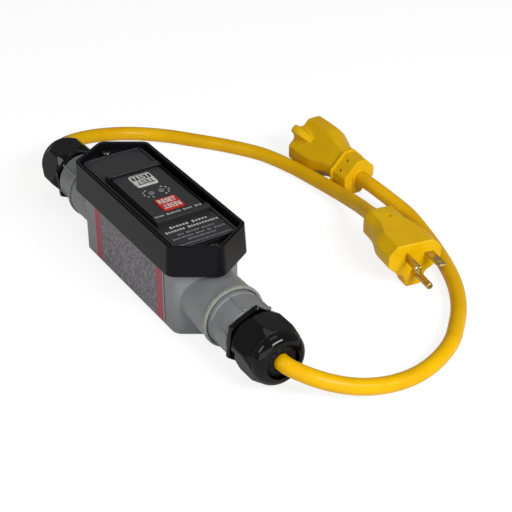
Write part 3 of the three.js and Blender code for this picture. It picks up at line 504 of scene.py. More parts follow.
class Sketch:
    """Points and faces of a piece while it is being shaped, in millimetres."""

    def __init__(self) -> None:
        """Starts empty."""
        self.points: list[Vector] = []
        self.faces: list[list[int]] = []

    def ring(self, points: Sequence[Sequence[float]]) -> list[int]:
        """Adds a ring of points.

        Args:
            points: the points, in order.

        Returns:
            Their numbers.
        """
        start = len(self.points)
        self.points += [Vector(p) for p in points]
        return list(range(start, len(self.points)))

    def skin(self, rings: Sequence[Route], caps: bool = True, looped: bool = False) -> "Sketch":
        """Joins rings of equal count into a surface.

        Args:
            rings: the rings, in order.
            caps: whether the first and last are closed.
            looped: whether the last joins the first.

        Returns:
            This sketch.
        """
        made = [self.ring(ring) for ring in rings]
        pairs = list(zip(made, made[1:])) + ([(made[-1], made[0])] if looped else [])
        for low, high in pairs:
            for i in range(len(low)):
                j = (i + 1) % len(low)
                self.faces.append([low[i], low[j], high[j], high[i]])
        if caps and not looped:
            self.faces.append(made[0][::-1])
            self.faces.append(made[-1])
        return self

    def sweep(self, outline: OutlineAt, profile: Outline, looped: bool = False) -> "Sketch":
        """Runs a profile of (inset, height) round an outline."""
        rings = [[(x, y, height) for x, y in outline(inset)] for inset, height in profile]
        return self.skin(rings, looped=looped)

    def turned(self, profile: Outline, sides: int = 96, looped: bool = True) -> "Sketch":
        """Turns a profile of (place along the axis, radius) about the height axis."""
        return self.skin(self.rounds(profile, sides, lambda at, radius, angle: (radius, at)), looped=looped)

    @staticmethod
    def rounds(profile: Outline, sides: int, shape: Callable[[float, float, float], Flat]) -> list[Route]:
        """Rings about the height axis, each point moved as a function says.

        Args:
            profile: (place along the axis, radius) for each ring.
            sides: points in a ring.
            shape: from a place, a radius and an angle to the point's true radius and place.

        Returns:
            The rings.
        """
        rings = []
        for at, radius in profile:
            ring = []
            for i in range(sides):
                angle = math.tau * i / sides
                out, place = shape(at, radius, angle)
                ring.append((out * math.cos(angle), out * math.sin(angle), place))
            rings.append(ring)
        return rings

    def along(self, side: Side) -> "Sketch":
        """Lays a sketch drawn along its height on the glands' axis, towards one end of the box."""
        return self.move(Matrix.Translation((0, 0, AXIS_HEIGHT)) @ side.turn @ ALONG_X)

    def stand(self, centre: Vector) -> "Sketch":
        """Moves the sketch across to a centre, and returns it at its own height."""
        return self.move(Matrix.Translation((centre.x, centre.y, 0)))

    def move(self, matrix: Matrix) -> "Sketch":
        """Moves every point by a matrix and returns this sketch."""
        self.points = [matrix @ p for p in self.points]
        return self

    def join(self, other: "Sketch") -> "Sketch":
        """Adds another sketch's points and faces.

        Args:
            other: the other sketch.

        Returns:
            This sketch.
        """
        start = len(self.points)
        self.points += other.points
        self.faces += [[start + i for i in f] for f in other.faces]
        return self

    def mesh(self, name: str) -> bpy.types.Mesh:
        """Makes the sketch a mesh in metres, with its faces pointing out.

        Args:
            name: the mesh's name.

        Returns:
            The mesh.
        """
        made = bpy.data.meshes.new(name)
        made.from_pydata([p * MM for p in self.points], [], self.faces)
        shape = bmesh.new()
        shape.from_mesh(made)
        bmesh.ops.remove_doubles(shape, verts=shape.verts, dist=0.002 * MM)
        bmesh.ops.recalc_face_normals(shape, faces=shape.faces)
        shape.to_mesh(made)
        shape.free()
        return made


def lettering(word: str, width: float, height: float) -> Sketch:
    """A word in plain block capitals, as a thin raised print.

    Args:
        word: the word.
        width: its width.
        height: its height.

    Returns:
        The word, with its middle at the origin and its top towards +Y.
    """
    data = bpy.data.curves.new("word", "FONT")
    data.body = word
    data.offset = 0.022
    data.resolution_u = 4
    source = bpy.data.objects.new("word", data)
    bpy.context.scene.collection.objects.link(source)
    bpy.context.view_layer.update()
    shape = bpy.data.meshes.new_from_object(source.evaluated_get(bpy.context.evaluated_depsgraph_get()))
    across = [v.co.x for v in shape.vertices]
    up = [v.co.y for v in shape.vertices]
    left, bottom = min(across), min(up)
    wide, tall = max(across) - left, max(up) - bottom
    sketch = Sketch()
    sketch.points = [
        Vector(((x - left) * width / wide - width / 2, (y - bottom) * height / tall - height / 2, 0))
        for x, y in zip(across, up)
    ]
    sketch.faces = [list(p.vertices) for p in shape.polygons]
    bpy.data.objects.remove(source)
    return sketch


@dataclass
class Piece:
    """A visible piece: its shape, finish, the body that it rides on and the nodes that it stands for."""

    name: str
    sketch: Sketch
    finish: Finish
    body: str = "root"
    stands_for: tuple[str, ...] = ()
    crease: float = 32.0

    def lay(self, cutters: Sequence[Sketch] = (), added: Sequence[Sketch] = ()) -> bpy.types.Object:
        """Makes the piece in the scene.

        Args:
            cutters: solids taken out of it.
            added: solids joined to it.

        Returns:
            The piece.
        """
        made = bpy.data.objects.new(self.name, self.sketch.mesh(self.name))
        bpy.context.scene.collection.objects.link(made)
        for other in added:
            combine(made, other, "UNION")
        for other in cutters:
            combine(made, other, "DIFFERENCE")
        made.data.materials.clear()
        made.data.materials.append(self.finish.material())
        smooth(made, self.crease)
        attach(made, self.body)
        if self.stands_for:
            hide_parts(*self.stands_for)
        LOG.info("%s: %d faces, on %s", self.name, len(made.data.polygons), self.body)
        return made


def combine(target: bpy.types.Object, other: Sketch, operation: str) -> None:
    """Joins or cuts a piece by a solid.

    Args:
        target: the piece.
        other: the solid.
        operation: UNION or DIFFERENCE.
    """
    tool = bpy.data.objects.new("tool", other.mesh("tool"))
    bpy.context.scene.collection.objects.link(tool)
    modifier = target.modifiers.new("combine", "BOOLEAN")
    modifier.operation = operation
    modifier.object = tool
    modifier.solver = "EXACT"
    bpy.context.view_layer.update()
    shaped = bpy.data.meshes.new_from_object(target.evaluated_get(bpy.context.evaluated_depsgraph_get()))
    target.modifiers.clear()
    target.data = shaped
    bpy.data.objects.remove(tool)


def smooth(piece: bpy.types.Object, crease: float) -> None:
    """Shades a piece smooth up to an angle, with its flats kept flat.

    Args:
        piece: the piece.
        crease: the angle, in degrees, above which an edge stays sharp.
    """
    piece.data.shade_smooth()
    piece.data.set_sharp_from_angle(angle=math.radians(crease))
    even = piece.modifiers.new("even_normals", "WEIGHTED_NORMAL")
    even.keep_sharp = True


def dress(node: str, finish: Finish) -> None:
    """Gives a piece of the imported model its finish.

    Args:
        node: the node's name.
        finish: its finish.
    """
    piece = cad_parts[node]
    piece.data.materials.clear()
    piece.data.materials.append(finish.material())
    LOG.info("%s: dressed in %s", node, finish.name)


def low(node: str) -> Vector:
    """A node's lowest corner, in millimetres."""
    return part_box(node)[0] / MM


def high(node: str) -> Vector:
    """A node's highest corner, in millimetres."""
    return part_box(node)[1] / MM


def middle(node: str) -> Vector:
    """The middle of a node's box, in millimetres."""
    return (low(node) + high(node)) / 2


# ---------------------------------------------------------------- studio
@dataclass
class Studio:
    """Camera, floor and soft lights."""

    azimuth: float = 57.885
    elevation: float = 32.146
    stand: tuple[float, float, float] = (0.68362, -0.35413, 0.49951)
    lens: float = 96.64
    floor_size: float = 12.0
    even_light: float = 0.1
    mirrored: float = 0.28

    def back(self) -> Vector:
        """The direction from the object to the camera."""
        a, e = math.radians(self.azimuth), math.radians(self.elevation)
        return Vector((math.sin(a) * math.cos(e), -math.cos(a) * math.cos(e), math.sin(e)))

    def set_camera(self) -> None:
        """Makes the camera and takes it into use."""
        data = bpy.data.cameras.new("camera")
        data.lens = self.lens
        data.sensor_width = 36.0
        data.clip_start, data.clip_end = 0.01, 50.0
        camera = bpy.data.objects.new("camera", data)
        camera.location = self.stand
        camera.rotation_mode = "QUATERNION"
        camera.rotation_quaternion = (-self.back()).to_track_quat("-Z", "Y")
        bpy.context.scene.collection.objects.link(camera)
        bpy.context.scene.camera = camera

    def lay_floor(self) -> None:
        """A pale floor that shows white and keeps a faint shadow."""
        half = self.floor_size / 2
        data = bpy.data.meshes.new("floor")
        corners = [(-half, -half, 0), (half, -half, 0), (half, half, 0), (-half, half, 0)]
        data.from_pydata(corners, [], [(0, 1, 2, 3)])
        floor = bpy.data.objects.new("floor", data)
        bpy.context.scene.collection.objects.link(floor)
        paper = bpy.data.materials.new("floor")
        shader = Shader(paper)
        cloth = shader.node("ShaderNodeBsdfDiffuse", None, {"Color": (0.8, 0.8, 0.8, 1)})
        glow = shader.node("ShaderNodeEmission", None, {"Color": WHITE, "Strength": 1.25})
        shown = shader.mix_shaders(0.66, cloth, glow)
        both = shader.mix_shaders(shader.seen(self.mirrored), cloth, shown)
        shader.node("ShaderNodeOutputMaterial", None, {"Surface": both})
        data.materials.append(paper)

    def light(
        self, name: str, place: Sequence[float], target: Sequence[float], size: Flat, power: float
    ) -> None:
        """Hangs one soft box.

        Args:
            name: its name.
            place: where it hangs, in metres.
            target: what it points at, in metres.
            size: its two sides, in metres.
            power: its power, in watts.
        """
        data = bpy.data.lights.new(name, "AREA")
        data.shape = "RECTANGLE"
        data.size, data.size_y = size
        data.energy = power
        lamp = bpy.data.objects.new(name, data)
        lamp.location = place
        lamp.rotation_mode = "QUATERNION"
        lamp.rotation_quaternion = (Vector(target) - Vector(place)).to_track_quat("-Z", "Y")
        bpy.context.scene.collection.objects.link(lamp)

    def set_lights(self) -> None:
        """The world's even light, a wide key box past the load end, a tall one in front, two faint ones."""
        world = bpy.data.worlds.new("studio")
        bpy.context.scene.world = world
        shader = Shader(world)
        even = shader.node("ShaderNodeBackground", None, {"Color": WHITE, "Strength": self.even_light})
        white = shader.node("ShaderNodeBackground", None, {"Color": WHITE, "Strength": 1.0})
        both = shader.mix_shaders(shader.seen(self.mirrored), even, white)
        shader.node("ShaderNodeOutputWorld", None, {"Surface": both})
        middle_of_box = (0, 0.05, 0.03)
        self.light("key", (1.28, 0.26, 0.94), middle_of_box, (0.9, 0.36), 20.5)
        self.light("front", (0.03, -1.25, 0.96), middle_of_box, (0.42, 0.7), 5.0)
        self.light("overhead", (0.05, 0.05, 1.5), (0.05, 0.05, 0), (0.7, 0.7), 2.3)
        self.light("low", (1.25, -0.78, 0.3), middle_of_box, (2.0, 0.8), 7.5)

    def build(self) -> None:
        """Sets the whole studio."""
        bpy.context.scene.view_settings.view_transform = "Standard"
        self.lay_floor()
        self.set_lights()


# ---------------------------------------------------------------- cords
@dataclass
class Cord:
    """A round flexible cord from a gland to the plug or the connector."""

    side: Side
    far_end: str
    route: Route
    diameter: float = 10.5
    inner_starts: Flat = (130.6, 139.6)
    exit_at: float = 149.6
    steps: int = 12
    length: float = field(default=0.0, init=False)

    def line(self) -> Route:
        """Lays a centripetal Catmull-Rom curve through the route.

        Returns:
            The centreline's points, close together.
        """
        inside = [(self.side.value * x, 0.0, AXIS_HEIGHT) for x in self.inner_starts]
        points = [Vector(p) for p in (*inside, *self.route)]
        before = points[0] * 2 - points[1]
        after = points[-1] * 2 - points[-2]
        line: list[Vector] = []
        padded = [before, *points, after]
        for i in range(1, len(padded) - 2):
            line += self.stretch(*padded[i - 1 : i + 3])
        line.append(points[-1])
        return [tuple(p) for p in line]

    def stretch(self, a: Vector, b: Vector, c: Vector, d: Vector) -> list[Vector]:
        """Points of the curve from b up to c.

        Args:
            a: the point before.
            b: the stretch's start.
            c: the stretch's end.
            d: the point after.

        Returns:
            The points, without c.
        """
        t1 = math.sqrt((b - a).length)
        t2 = t1 + math.sqrt((c - b).length)
        t3 = t2 + math.sqrt((d - c).length)
        points = []
        for step in range(self.steps):
            t = t1 + (t2 - t1) * step / self.steps
            ab = a.lerp(b, t / t1)
            bc = b.lerp(c, (t - t1) / (t2 - t1))
            cd = c.lerp(d, (t - t2) / (t3 - t2))
            abc = ab.lerp(bc, t / t2)
            bcd = bc.lerp(cd, (t - t1) / (t3 - t1))
            points.append(abc.lerp(bcd, (t - t1) / (t2 - t1)))
        return points

    def build(self) -> bpy.types.Object:
        """Lays the cord as one open spline.

        Returns:
            The cord.
        """
        name = f"cord_{self.side.word}_flex"
        line = self.line()
        self.length = sum((Vector(b) - Vector(a)).length for a, b in zip(line, line[1:]))
        data = bpy.data.curves.new(name, "CURVE")
        data.dimensions = "3D"
        data.bevel_depth = self.diameter / 2 * MM
        data.bevel_resolution = 10
        data.use_fill_caps = True
        spline = data.splines.new("POLY")
        spline.points.add(len(line) - 1)
        for point, place in zip(spline.points, line):
            point.co = (*(c * MM for c in place), 1.0)
        spline.use_smooth = True
        data.materials.append(FINISHES.cord_yellow.material())
        made = bpy.data.objects.new(name, data)
        bpy.context.scene.collection.objects.link(made)
        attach(made, "root")
        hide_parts(f"cord_{self.side.word}")
        LOG.info("%s: %.0f mm long", name, self.length)
        return made

    def declare(self, carried: Sequence[bpy.types.Object]) -> None:
        """Works out the cord's exit place and its diameter in metres, and keeps neither.

        Args:
            carried: the pieces on it; not used.
        """
        self.side.value * self.exit_at * MM
        self.diameter * MM


# ---------------------------------------------------------------- box and cover
@dataclass
class Housing:
    """The grey feed-through box, its gasket, its black cover, the label and the cover's screws."""

    length: float = 162.7
    width: float = 54.7
    straight: float = 128.3
    corner: float = 6.0
    box_margin: float = 3.8
    box_corner: float = 8.0
    hub_start: float = 50.0
    hub_radius: float = 20.3
    hub_bore: float = 17.6
    draft: float = 1.3
    tray_depth: float = 6.0
    screw_head: float = 3.3
    slot: Flat = (4.0, 0.9)
    slot_turn: float = 0.5

    def outline(self, radius: float, steps: int = 8) -> OutlineAt:
        """The six-sided outline, moved in on every side.

        Args:
            radius: its corner radius at inset 0.
            steps: straight pieces in each corner.

        Returns:
            A function from inset to outline.
        """
        run = (self.length - self.straight) / 2
        rise = self.width / 2

        def at(inset: float) -> Outline:
            """Draws the outline at one inset.

            Args:
                inset: how far in.

            Returns:
                The outline.
            """
            apex = self.length / 2 - inset * math.hypot(run, rise) / rise
            half = rise - inset
            shoulder = apex - half * run / rise
            right = [(shoulder, -half), (apex, 0), (shoulder, half)]
            corners = right + [(-x, -y) for x, y in right]
            return fillet(corners, [max(radius - inset, 0.6)] * 6, steps, True)

        return at

    def build_cover(self) -> None:
        """The black cover: skirt, grooved rim with a rounded lip, and a tray."""
        bottom, top = low("cover").z, high("cover").z
        deck = top - self.tray_depth
        groove = top - 0.95
        profile = moulded([
            (8.0, deck - 4, 0), (2.6, deck - 4, 1.0), (2.0, bottom, 0.4), (-self.draft, bottom, 0.5),
            (0.0, top - 0.1, 0.3), (0.34, top - 0.05, 0.16), (0.38, groove, 0.1), (0.86, groove, 0.1),
            (0.9, top, 0.25), (1.9, top + 0.05, 0.3), (2.55, top - 0.1, 0.4), (2.65, deck, 0.6),
            (8.0, deck, 0),
        ])
        sketch = Sketch().sweep(self.outline(self.corner), profile)
        Piece("cover_shell", sketch, FINISHES.cover_black, stands_for=("cover",)).lay()

    def build_box(self) -> None:
        """The grey box with a hub at each end."""
        top = high("enclosure").z
        profile = moulded([(24.0, 0.0, 0), (0.0, 0.0, 1.2), (0.0, top, 0.4), (24.0, top, 0)])
        base = self.outline(self.box_corner + self.box_margin)
        outer = Sketch().sweep(lambda inset: base(inset + self.box_margin), profile)
        start, end = self.hub_start, high("enclosure").x
        # The first and last corners only aim the arcs next to them.
        hub = moulded([(start, 0.1, 0), (start, self.hub_radius, 0.1), (end, self.hub_radius, 0.8),
                       (end, self.hub_bore, 0.2), (start + 0.5, self.hub_bore, 0.1), (start + 0.5, 0.1, 0)])
        hubs = [Sketch().turned(hub[1:-1], 96, looped=False).along(side) for side in Side]
        box = Piece("feed_through_box", outer, FINISHES.grey_pvc, stands_for=("enclosure",), crease=30)
        box.lay(added=hubs)

    def build_label(self) -> None:
        """The printed panel on the front side."""
        lo, hi = low("side_label"), high("side_label")
        size = hi - lo
        centre = (lo + hi) / 2
        profile = moulded([(0.0, 0.0, 0), (0.0, 0.25, 0.1), (0.15, 0.35, 0)])
        sketch = Sketch().sweep(box_outline(size.x, size.z, 2.0), profile)
        sketch.move(Matrix.Translation((centre.x, hi.y, centre.z)) @ Matrix.Rotation(math.pi / 2, 4, "X"))
        finish = PrintedPanel("label_print", "605c64", "label", roughness=0.42, middle=centre.x)
        Piece("label_panel", sketch, finish, stands_for=("side_label",)).lay()

    def build_screws(self) -> None:
        """Pan-head screws with a cross recess, one at each apex of the tray."""
        for side in Side:
            node = f"cover_screw_{side.word}"
            centre, top, radius = middle(node), high(node).z, self.screw_head
            base = top - 2.0
            profile = moulded([(base, 0.05, 0), (base, radius, 0.2), (top, radius, 1.3), (top, 0.05, 0)])
            head = Sketch().turned(profile, 48, looped=False).stand(centre)
            cutters = []
            for turn in (self.slot_turn, self.slot_turn + math.pi / 2):
                slot = Sketch().sweep(box_outline(*self.slot, 0.3, 3), [(0.0, top - 1.0), (0.0, top + 1)])
                cutters.append(slot.move(Matrix.Rotation(turn, 4, "Z")).stand(centre))
            # The heads take the darkened screw metal, which is painted shade for their recesses.
            Piece(f"{node}_head", head, FINISHES.screw_metal_painted_shade, stands_for=(node,)).lay(cutters)

    def build(self) -> None:
        """Builds the housing."""
        self.build_cover()
        self.build_box()
        self.build_label()
        self.build_screws()
        dress("cover_gasket", FINISHES.seal_rubber)


# ---------------------------------------------------------------- plate, bezel and keys
@dataclass
class KeyPanel:
    """The face plate, the raised bezel, the face with its two keys and the two indicators."""

    bead: float = 1.9
    bead_height: float = 0.6
    bead_groove: float = 0.35
    bezel_wall: float = 1.2
    bezel_gap: float = 0.3
    face_corner: float = 2.4
    key_size: float = 15.3
    key_corner: float = 1.8
    key_gap: float = 0.3
    key_depth: float = 2.6
    word_size: Flat = (12.4, 5.2)
    word_place: float = 3.45
    lens_radius: float = 2.25
    lens_gap: float = 0.15
    marks_radius: float = 5.1
    print_rise: float = 0.03

    def build_plate(self) -> None:
        """The long plate with a raised bead round it and a window for the bezel."""
        lo, hi = low("face_plate"), high("face_plate")
        field_top = hi.z - self.bead_height
        groove_floor = field_top - self.bead_groove
        outer = box_outline(hi.x - lo.x, hi.y - lo.y, 4.2)
        inner = self.bead
        profile = moulded([(0.0, lo.z, 0), (0.0, hi.z, 0.35), (inner, hi.z, 0.2),
                           (inner + 0.05, groove_floor, 0.1), (inner + 0.5, groove_floor, 0.1),
                           (inner + 0.6, field_top, 0.15), (inner + 1.2, field_top, 0)])
        sketch = Sketch().sweep(outer, profile)
        Piece("plate_moulding", sketch, FINISHES.face_black, stands_for=("face_plate",)).lay()

    def build_bezel(self) -> None:
        """The raised frame round the keys' face."""
        lo, hi = low("bezel"), high("bezel")
        face = high("device_face") - low("device_face")
        outer = box_outline(hi.x - lo.x, hi.y - lo.y, 1.6)
        inner = box_outline(face.x + 2 * self.bezel_gap, face.y + 2 * self.bezel_gap, self.face_corner)
        outside = moulded([(0.0, lo.z, 0), (0.0, hi.z, 0.3), (self.bezel_wall, hi.z, 0)])
        inside = moulded([(-self.bezel_wall, hi.z, 0), (0.0, hi.z, 0.3), (0.1, lo.z, 0)])
        rings = [[(x, y, z) for x, y in outer(i)] for i, z in outside]
        rings += [[(x, y, z) for x, y in inner(i)] for i, z in inside]
        sketch = Sketch().skin(rings, caps=False, looped=True)
        Piece("bezel_frame", sketch, FINISHES.bezel_black, stands_for=("bezel",)).lay()

    def build_face(self) -> None:
        """The face between the bezel's walls, with holes for the keys and the lenses."""
        lo, hi = low("device_face"), high("device_face")
        groove = hi.z - self.bead_groove
        profile = moulded([(4.0, lo.z, 0), (0.0, lo.z, 0.1), (0.0, groove, 0.1), (0.35, groove, 0.1),
                           (0.45, hi.z, 0.15), (4.0, hi.z, 0)])
        sketch = Sketch().sweep(box_outline(hi.x - lo.x, hi.y - lo.y, self.face_corner), profile)
        opening = box_outline(*[self.key_size + 2 * self.key_gap] * 2, self.key_corner + self.key_gap)
        reach = (lo.z - 1, hi.z + 1)
        cutters = [Sketch().sweep(opening, [(0.0, z) for z in reach]).stand(middle(node))
                   for node in ("test_button", "reset_button")]
        bore = [(z, self.lens_radius + self.lens_gap) for z in reach]
        cutters += [Sketch().turned(bore, 48, looped=False).stand(middle(node))
                    for node in ("power_lens", "fault_lens")]
        Piece("keys_face", sketch, FINISHES.face_black, stands_for=("device_face",)).lay(cutters)

    def build_keys(self) -> None:
        """The pale test key and the red reset key, each with its word printed both ways up."""
        self.build_key("test", FINISHES.key_white)
        self.build_key("reset", FINISHES.key_red)

    def build_key(self, word: str, finish: Finish) -> None:
        """One key cap and its print.

        Args:
            word: the key's word, in small letters.
            finish: the cap's finish.
        """
        node, body = f"{word}_button", f"{word}_key"
        centre, top = middle(node), high(node).z
        base = high("device_face").z - self.key_depth
        profile = moulded([(4.0, base, 0), (0.0, base, 0.1), (0.0, top - 0.02, 0.3), (4.0, top, 0)])
        sketch = Sketch().sweep(box_outline(self.key_size, self.key_size, self.key_corner), profile)
        Piece(f"{word}_key_cap", sketch.stand(centre), finish, body=body, stands_for=(node,)).lay()
        near_ink = FINISHES.print_white
        if finish is FINISHES.key_white:
            near_ink = FINISHES.print_black
            panel = Sketch().sweep(box_outline(6.3, 13.2, 0.9), [(0.0, top - 0.1), (0.0, top + 0.02)])
            panel.move(Matrix.Translation((-self.word_place, 0, 0))).stand(centre)
            Piece(f"{word}_key_panel", panel, FINISHES.print_black, body=body).lay()
        for sign, half, ink in ((-1, "far", FINISHES.print_white), (1, "near", near_ink)):
            spot = Matrix.Translation((centre.x + sign * self.word_place, centre.y, top + self.print_rise))
            turn = Matrix.Rotation(-sign * math.pi / 2, 4, "Z")
            letters = lettering(word.upper(), *self.word_size).move(spot @ turn)
            Piece(f"{word}_word_{half}", letters, ink, body=body, crease=20).lay()

    def build_print(self) -> None:
        """Small marks round the lenses, and rows of small blocks where instructions are printed."""
        face, plate = high("device_face").z, high("face_plate").z - self.bead_height
        marks = Sketch()
        for node, sign in (("power_lens", 1), ("fault_lens", -1)):
            centre = middle(node)
            for k in range(5):
                angle = math.radians(-64 + 35.5 * k)
                tick = self.block(1.5, 1.1, 0.3, face)
                tick.move(Matrix.Translation((0, sign * self.marks_radius, 0)))
                marks.join(tick.move(Matrix.Rotation(-sign * angle, 4, "Z")).stand(centre))
        Piece("lens_marks", marks, FINISHES.print_pale, crease=20).lay()
        # Each line: its place along X, its span along Y, its height and the blocks in each group.
        prints = (
            ("face_print", face, FINISHES.print_pale, ((27.9, 33.6, 1.7, (4, 6, 4, 3)),)),
            ("plate_title", plate, FINISHES.print_pale, (
                (40.4, 27.0, 2.1, (6, 5)), (44.9, 37.6, 2.1, (7, 11)),
            )),
            ("plate_print", plate, FINISHES.print_grey, (
                (50.0, 26.4, 1.35, (3, 6, 6)), (53.9, 37.0, 1.35, (9, 4, 2, 5)), (57.5, 19.8, 1.35, (12,)),
                (61.7, 37.6, 1.0, (27,)),
            )),
        )
        for name, level, ink, lines in prints:
            sketch = Sketch()
            for line in lines:
                sketch.join(self.row(*line, level))
            Piece(name, sketch, ink, crease=20).lay()

    def block(self, length: float, width: float, corner: float, level: float) -> Sketch:
        """One printed block on a surface at a level, with its middle on the height axis."""
        profile = [(0.0, level - 0.05), (0.0, level + self.print_rise)]
        return Sketch().sweep(box_outline(length, width, corner, 2), profile)

    def row(self, place: float, span: float, height: float, words: Sequence[int], level: float) -> Sketch:
        """A row of small blocks in groups, laid across the panel.

        Args:
            place: the row's middle along X.
            span: its length along Y.
            height: the blocks' height.
            words: how many blocks each group has.
            level: the surface that it lies on.

        Returns:
            The row.
        """
        step = span / (sum(words) + len(words) - 1)
        sketch = Sketch()
        at = -span / 2
        for count in words:
            for k in range(count):
                tall = height * (1.25 if k == 0 else 0.85 + 0.15 * math.sin(2.4 * k + place))
                block = self.block(tall, step * 0.68, 0.1, level)
                sketch.join(block.move(Matrix.Translation((place, at + step / 2, 0))))
                at += step
            at += step
        return sketch

    def build_lenses(self) -> None:
        """Two round indicator lenses with a low dome."""
        for word in ("power", "fault"):
            node = f"{word}_lens"
            base, top = low(node).z, high(node).z
            radius = self.lens_radius
            profile = moulded([(base, 0.05, 0), (base, radius, 0.1), (top - 0.35, radius, 0.3),
                               (top, 0.6, 1.0), (top, 0.05, 0)])
            sketch = Sketch().turned(profile, 48, looped=False).stand(middle(node))
            Piece(f"{word}_lens_dome", sketch, FINISHES.lens, stands_for=(node,)).lay()
            dress(f"{word}_lamp", FINISHES.lens)

    def build(self) -> None:
        """Builds the panel."""
        self.build_plate()
        self.build_bezel()
        self.build_face()
        self.build_keys()
        self.build_lenses()
        self.build_print()
        dress("test_spring", FINISHES.steel)
        dress("reset_spring", FINISHES.steel)


# ---------------------------------------------------------------- module inside the box
@dataclass
class Module:
    """The interrupter inside the box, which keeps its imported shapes."""

    def build(self) -> None:
        """Gives each inner part its finish."""
        coats = {
            "module_lid": FINISHES.module_black, "module_base": FINISHES.module_black,
            "circuit_board": FINISHES.board_green, "sensing_coil": FINISHES.copper,
            "grounded_neutral_coil": FINISHES.copper, "trip_solenoid": FINISHES.copper,
            "trip_plunger": FINISHES.steel, "fixed_contact_line": FINISHES.brass,
            "fixed_contact_load": FINISHES.brass, "contact_carrier": FINISHES.brass,
        }
        for node, finish in coats.items():
            dress(node, finish)


# ---------------------------------------------------------------- glands
@dataclass
class Gland:
    """A hub's ring, its ribbed adapter and the cable gland that clamps the cord."""

    side: Side
    across_flats: float = 36.0
    adapter_radius: float = 17.9
    collar_radius: float = 18.75
    rib_height: float = 1.05
    rib_width: float = 1.7
    ribs: int = 6
    rib_turn: float = 103.5
    flange_turn: float = 24.0
    nut_turn: float = 48.0
    flange_radius: float = 20.9
    flange_thickness: float = 3.6
    nut_radius: float = 20.3
    dome_radius: float = 18.0
    dome_length: float = 7.2
    opening: float = 11.2
    softness: float = 300.0

    def start(self, stem: str) -> float:
        """Where a node of this gland starts, from the middle of the box."""
        node = f"{stem}_{self.side.word}"
        return low(node).x if self.side is Side.LOAD else -high(node).x

    def end(self, stem: str) -> float:
        """Where a node of this gland ends, from the middle of the box."""
        node = f"{stem}_{self.side.word}"
        return high(node).x if self.side is Side.LOAD else -low(node).x

    def hexagon(self, angle: float, turn: float) -> float:
        """The hexagon's radius at an angle, with softened corners.

        Args:
            angle: the angle, in radians.
            turn: the angle of one corner, in degrees.

        Returns:
            The radius.
        """
        first = math.radians(turn + 30)
        total = sum(max(math.cos(angle - first - k * math.pi / 3), 0.0) ** self.softness for k in range(6))
        return self.across_flats / 2 * total ** (-1 / self.softness)

    def lay(self, stem: str, ending: str, sketch: Sketch, finish: Finish, crease: float = 32.0) -> None:
        """Lays one piece of the gland that stands for one node.

        Args:
            stem: the node's name without its end.
            ending: what the piece's name adds to the node's.
            sketch: the piece, drawn along its height.
            finish: its finish.
            crease: the angle, in degrees, above which its edges stay sharp.
        """
        node = f"{stem}_{self.side.word}"
        body = f"{self.side.word}_gland_nut" if stem == "dome_nut" else "root"
        Piece(f"{node}_{ending}", sketch.along(self.side), finish, body, (node,), crease).lay()

    def build_ring(self) -> None:
        """The lip of the hub that the adapter plugs into."""
        start, end = self.start("hub_ring"), self.end("hub_ring")
        corners = [(start, 19.2), (end, 19.2), (end, 21.1), (start, 21.1)]
        sketch = Sketch().turned(fillet(corners, [0.2, 0.7, 0.9, 0.3], 5, True), 128)
        self.lay("hub_ring", "lip", sketch, FINISHES.pale_grey)

    def build_adapter(self) -> None:
        """The ribbed sleeve between the hub and the gland."""
        start, end = self.start("adapter"), self.end("adapter")
        lip = self.start("hub_ring") + 1.0
        collar = self.end("hub_ring") + 2.6
        radius, wide = self.adapter_radius, self.collar_radius
        rows = moulded([(start, 14.0, 0), (start, 17.0, 0.2), (lip, 17.0, 0.2), (lip, wide, 0.3),
                        (collar, wide, 0.6), (collar + 0.3, radius, 0.2), (collar + 0.6, radius, 0),
                        (end - 1.2, radius, 0), (end, radius, 0.5), (end, 14.0, 0)], 5)
        pitch = math.tau / self.ribs

        def ribbed(at: float, radius: float, angle: float) -> Flat:
            """Raises a rib where there is one.

            Args:
                at: the place along the sleeve.
                radius: its radius there.
                angle: the angle around it.

            Returns:
                The radius and the place.
            """
            share = min(max((at - collar - 0.2) / 0.3, 0.0), 1.0) if radius > 17.2 else 0.0
            off = (angle - math.radians(self.rib_turn)) % pitch
            off = min(off, pitch - off) * self.adapter_radius
            rib = min(max((self.rib_width / 2 + 0.25 - off) / 0.5, 0.0), 1.0)
            return radius + self.rib_height * rib * share, at

        sketch = Sketch().skin(Sketch.rounds(rows, 192, ribbed))
        for k in range(self.ribs):
            knob = Sketch().sweep(box_outline(1.5, 1.5, 0.4, 3), [(0.0, -0.8), (0.0, 0.35), (0.25, 0.6)])
            seat = Matrix.Translation((0, radius + self.rib_height, end - 0.9))
            knob.move(seat @ Matrix.Rotation(-math.pi / 2, 4, "X"))
            turn = math.radians(self.rib_turn - 90) + k * pitch
            sketch.join(knob.move(Matrix.Rotation(turn, 4, "Z")))
        self.lay("adapter", "sleeve", sketch, FINISHES.grey_pvc, 40)

    def build_body(self) -> None:
        """The gland body's hexagon flange and the neck behind the nut."""
        start = self.end("gland_washer") + 0.05
        end = start + self.flange_thickness
        wide = self.flange_radius
        profile = moulded([(start - 0.5, 8.0, 0), (start - 0.5, 13.0, 0.1), (start, 13.0, 0.1),
                           (start, wide, 0.5), (end - 1.0, wide, 0.3), (end, wide - 1.3, 0.3),
                           (end + 0.1, 17.0, 0.3), (end + 0.9, 16.6, 0.1), (end + 0.9, 14.4, 0.1),
                           (end + 6, 14.4, 0.1), (end + 6, 8.0, 0)])

        def flanged(at: float, radius: float, angle: float) -> Flat:
            """The body's radius and place, cut to the hexagon on the flange."""
            flat = self.hexagon(angle, self.flange_turn) - max(0.0, 0.6 - min(at - start, end - at)) * 0.5
            return radius if radius < 17.3 else min(radius, flat), at

        sketch = Sketch().skin(Sketch.rounds(profile, 360, flanged))
        self.lay("gland_body", "flange", sketch, FINISHES.gland_black, 22)

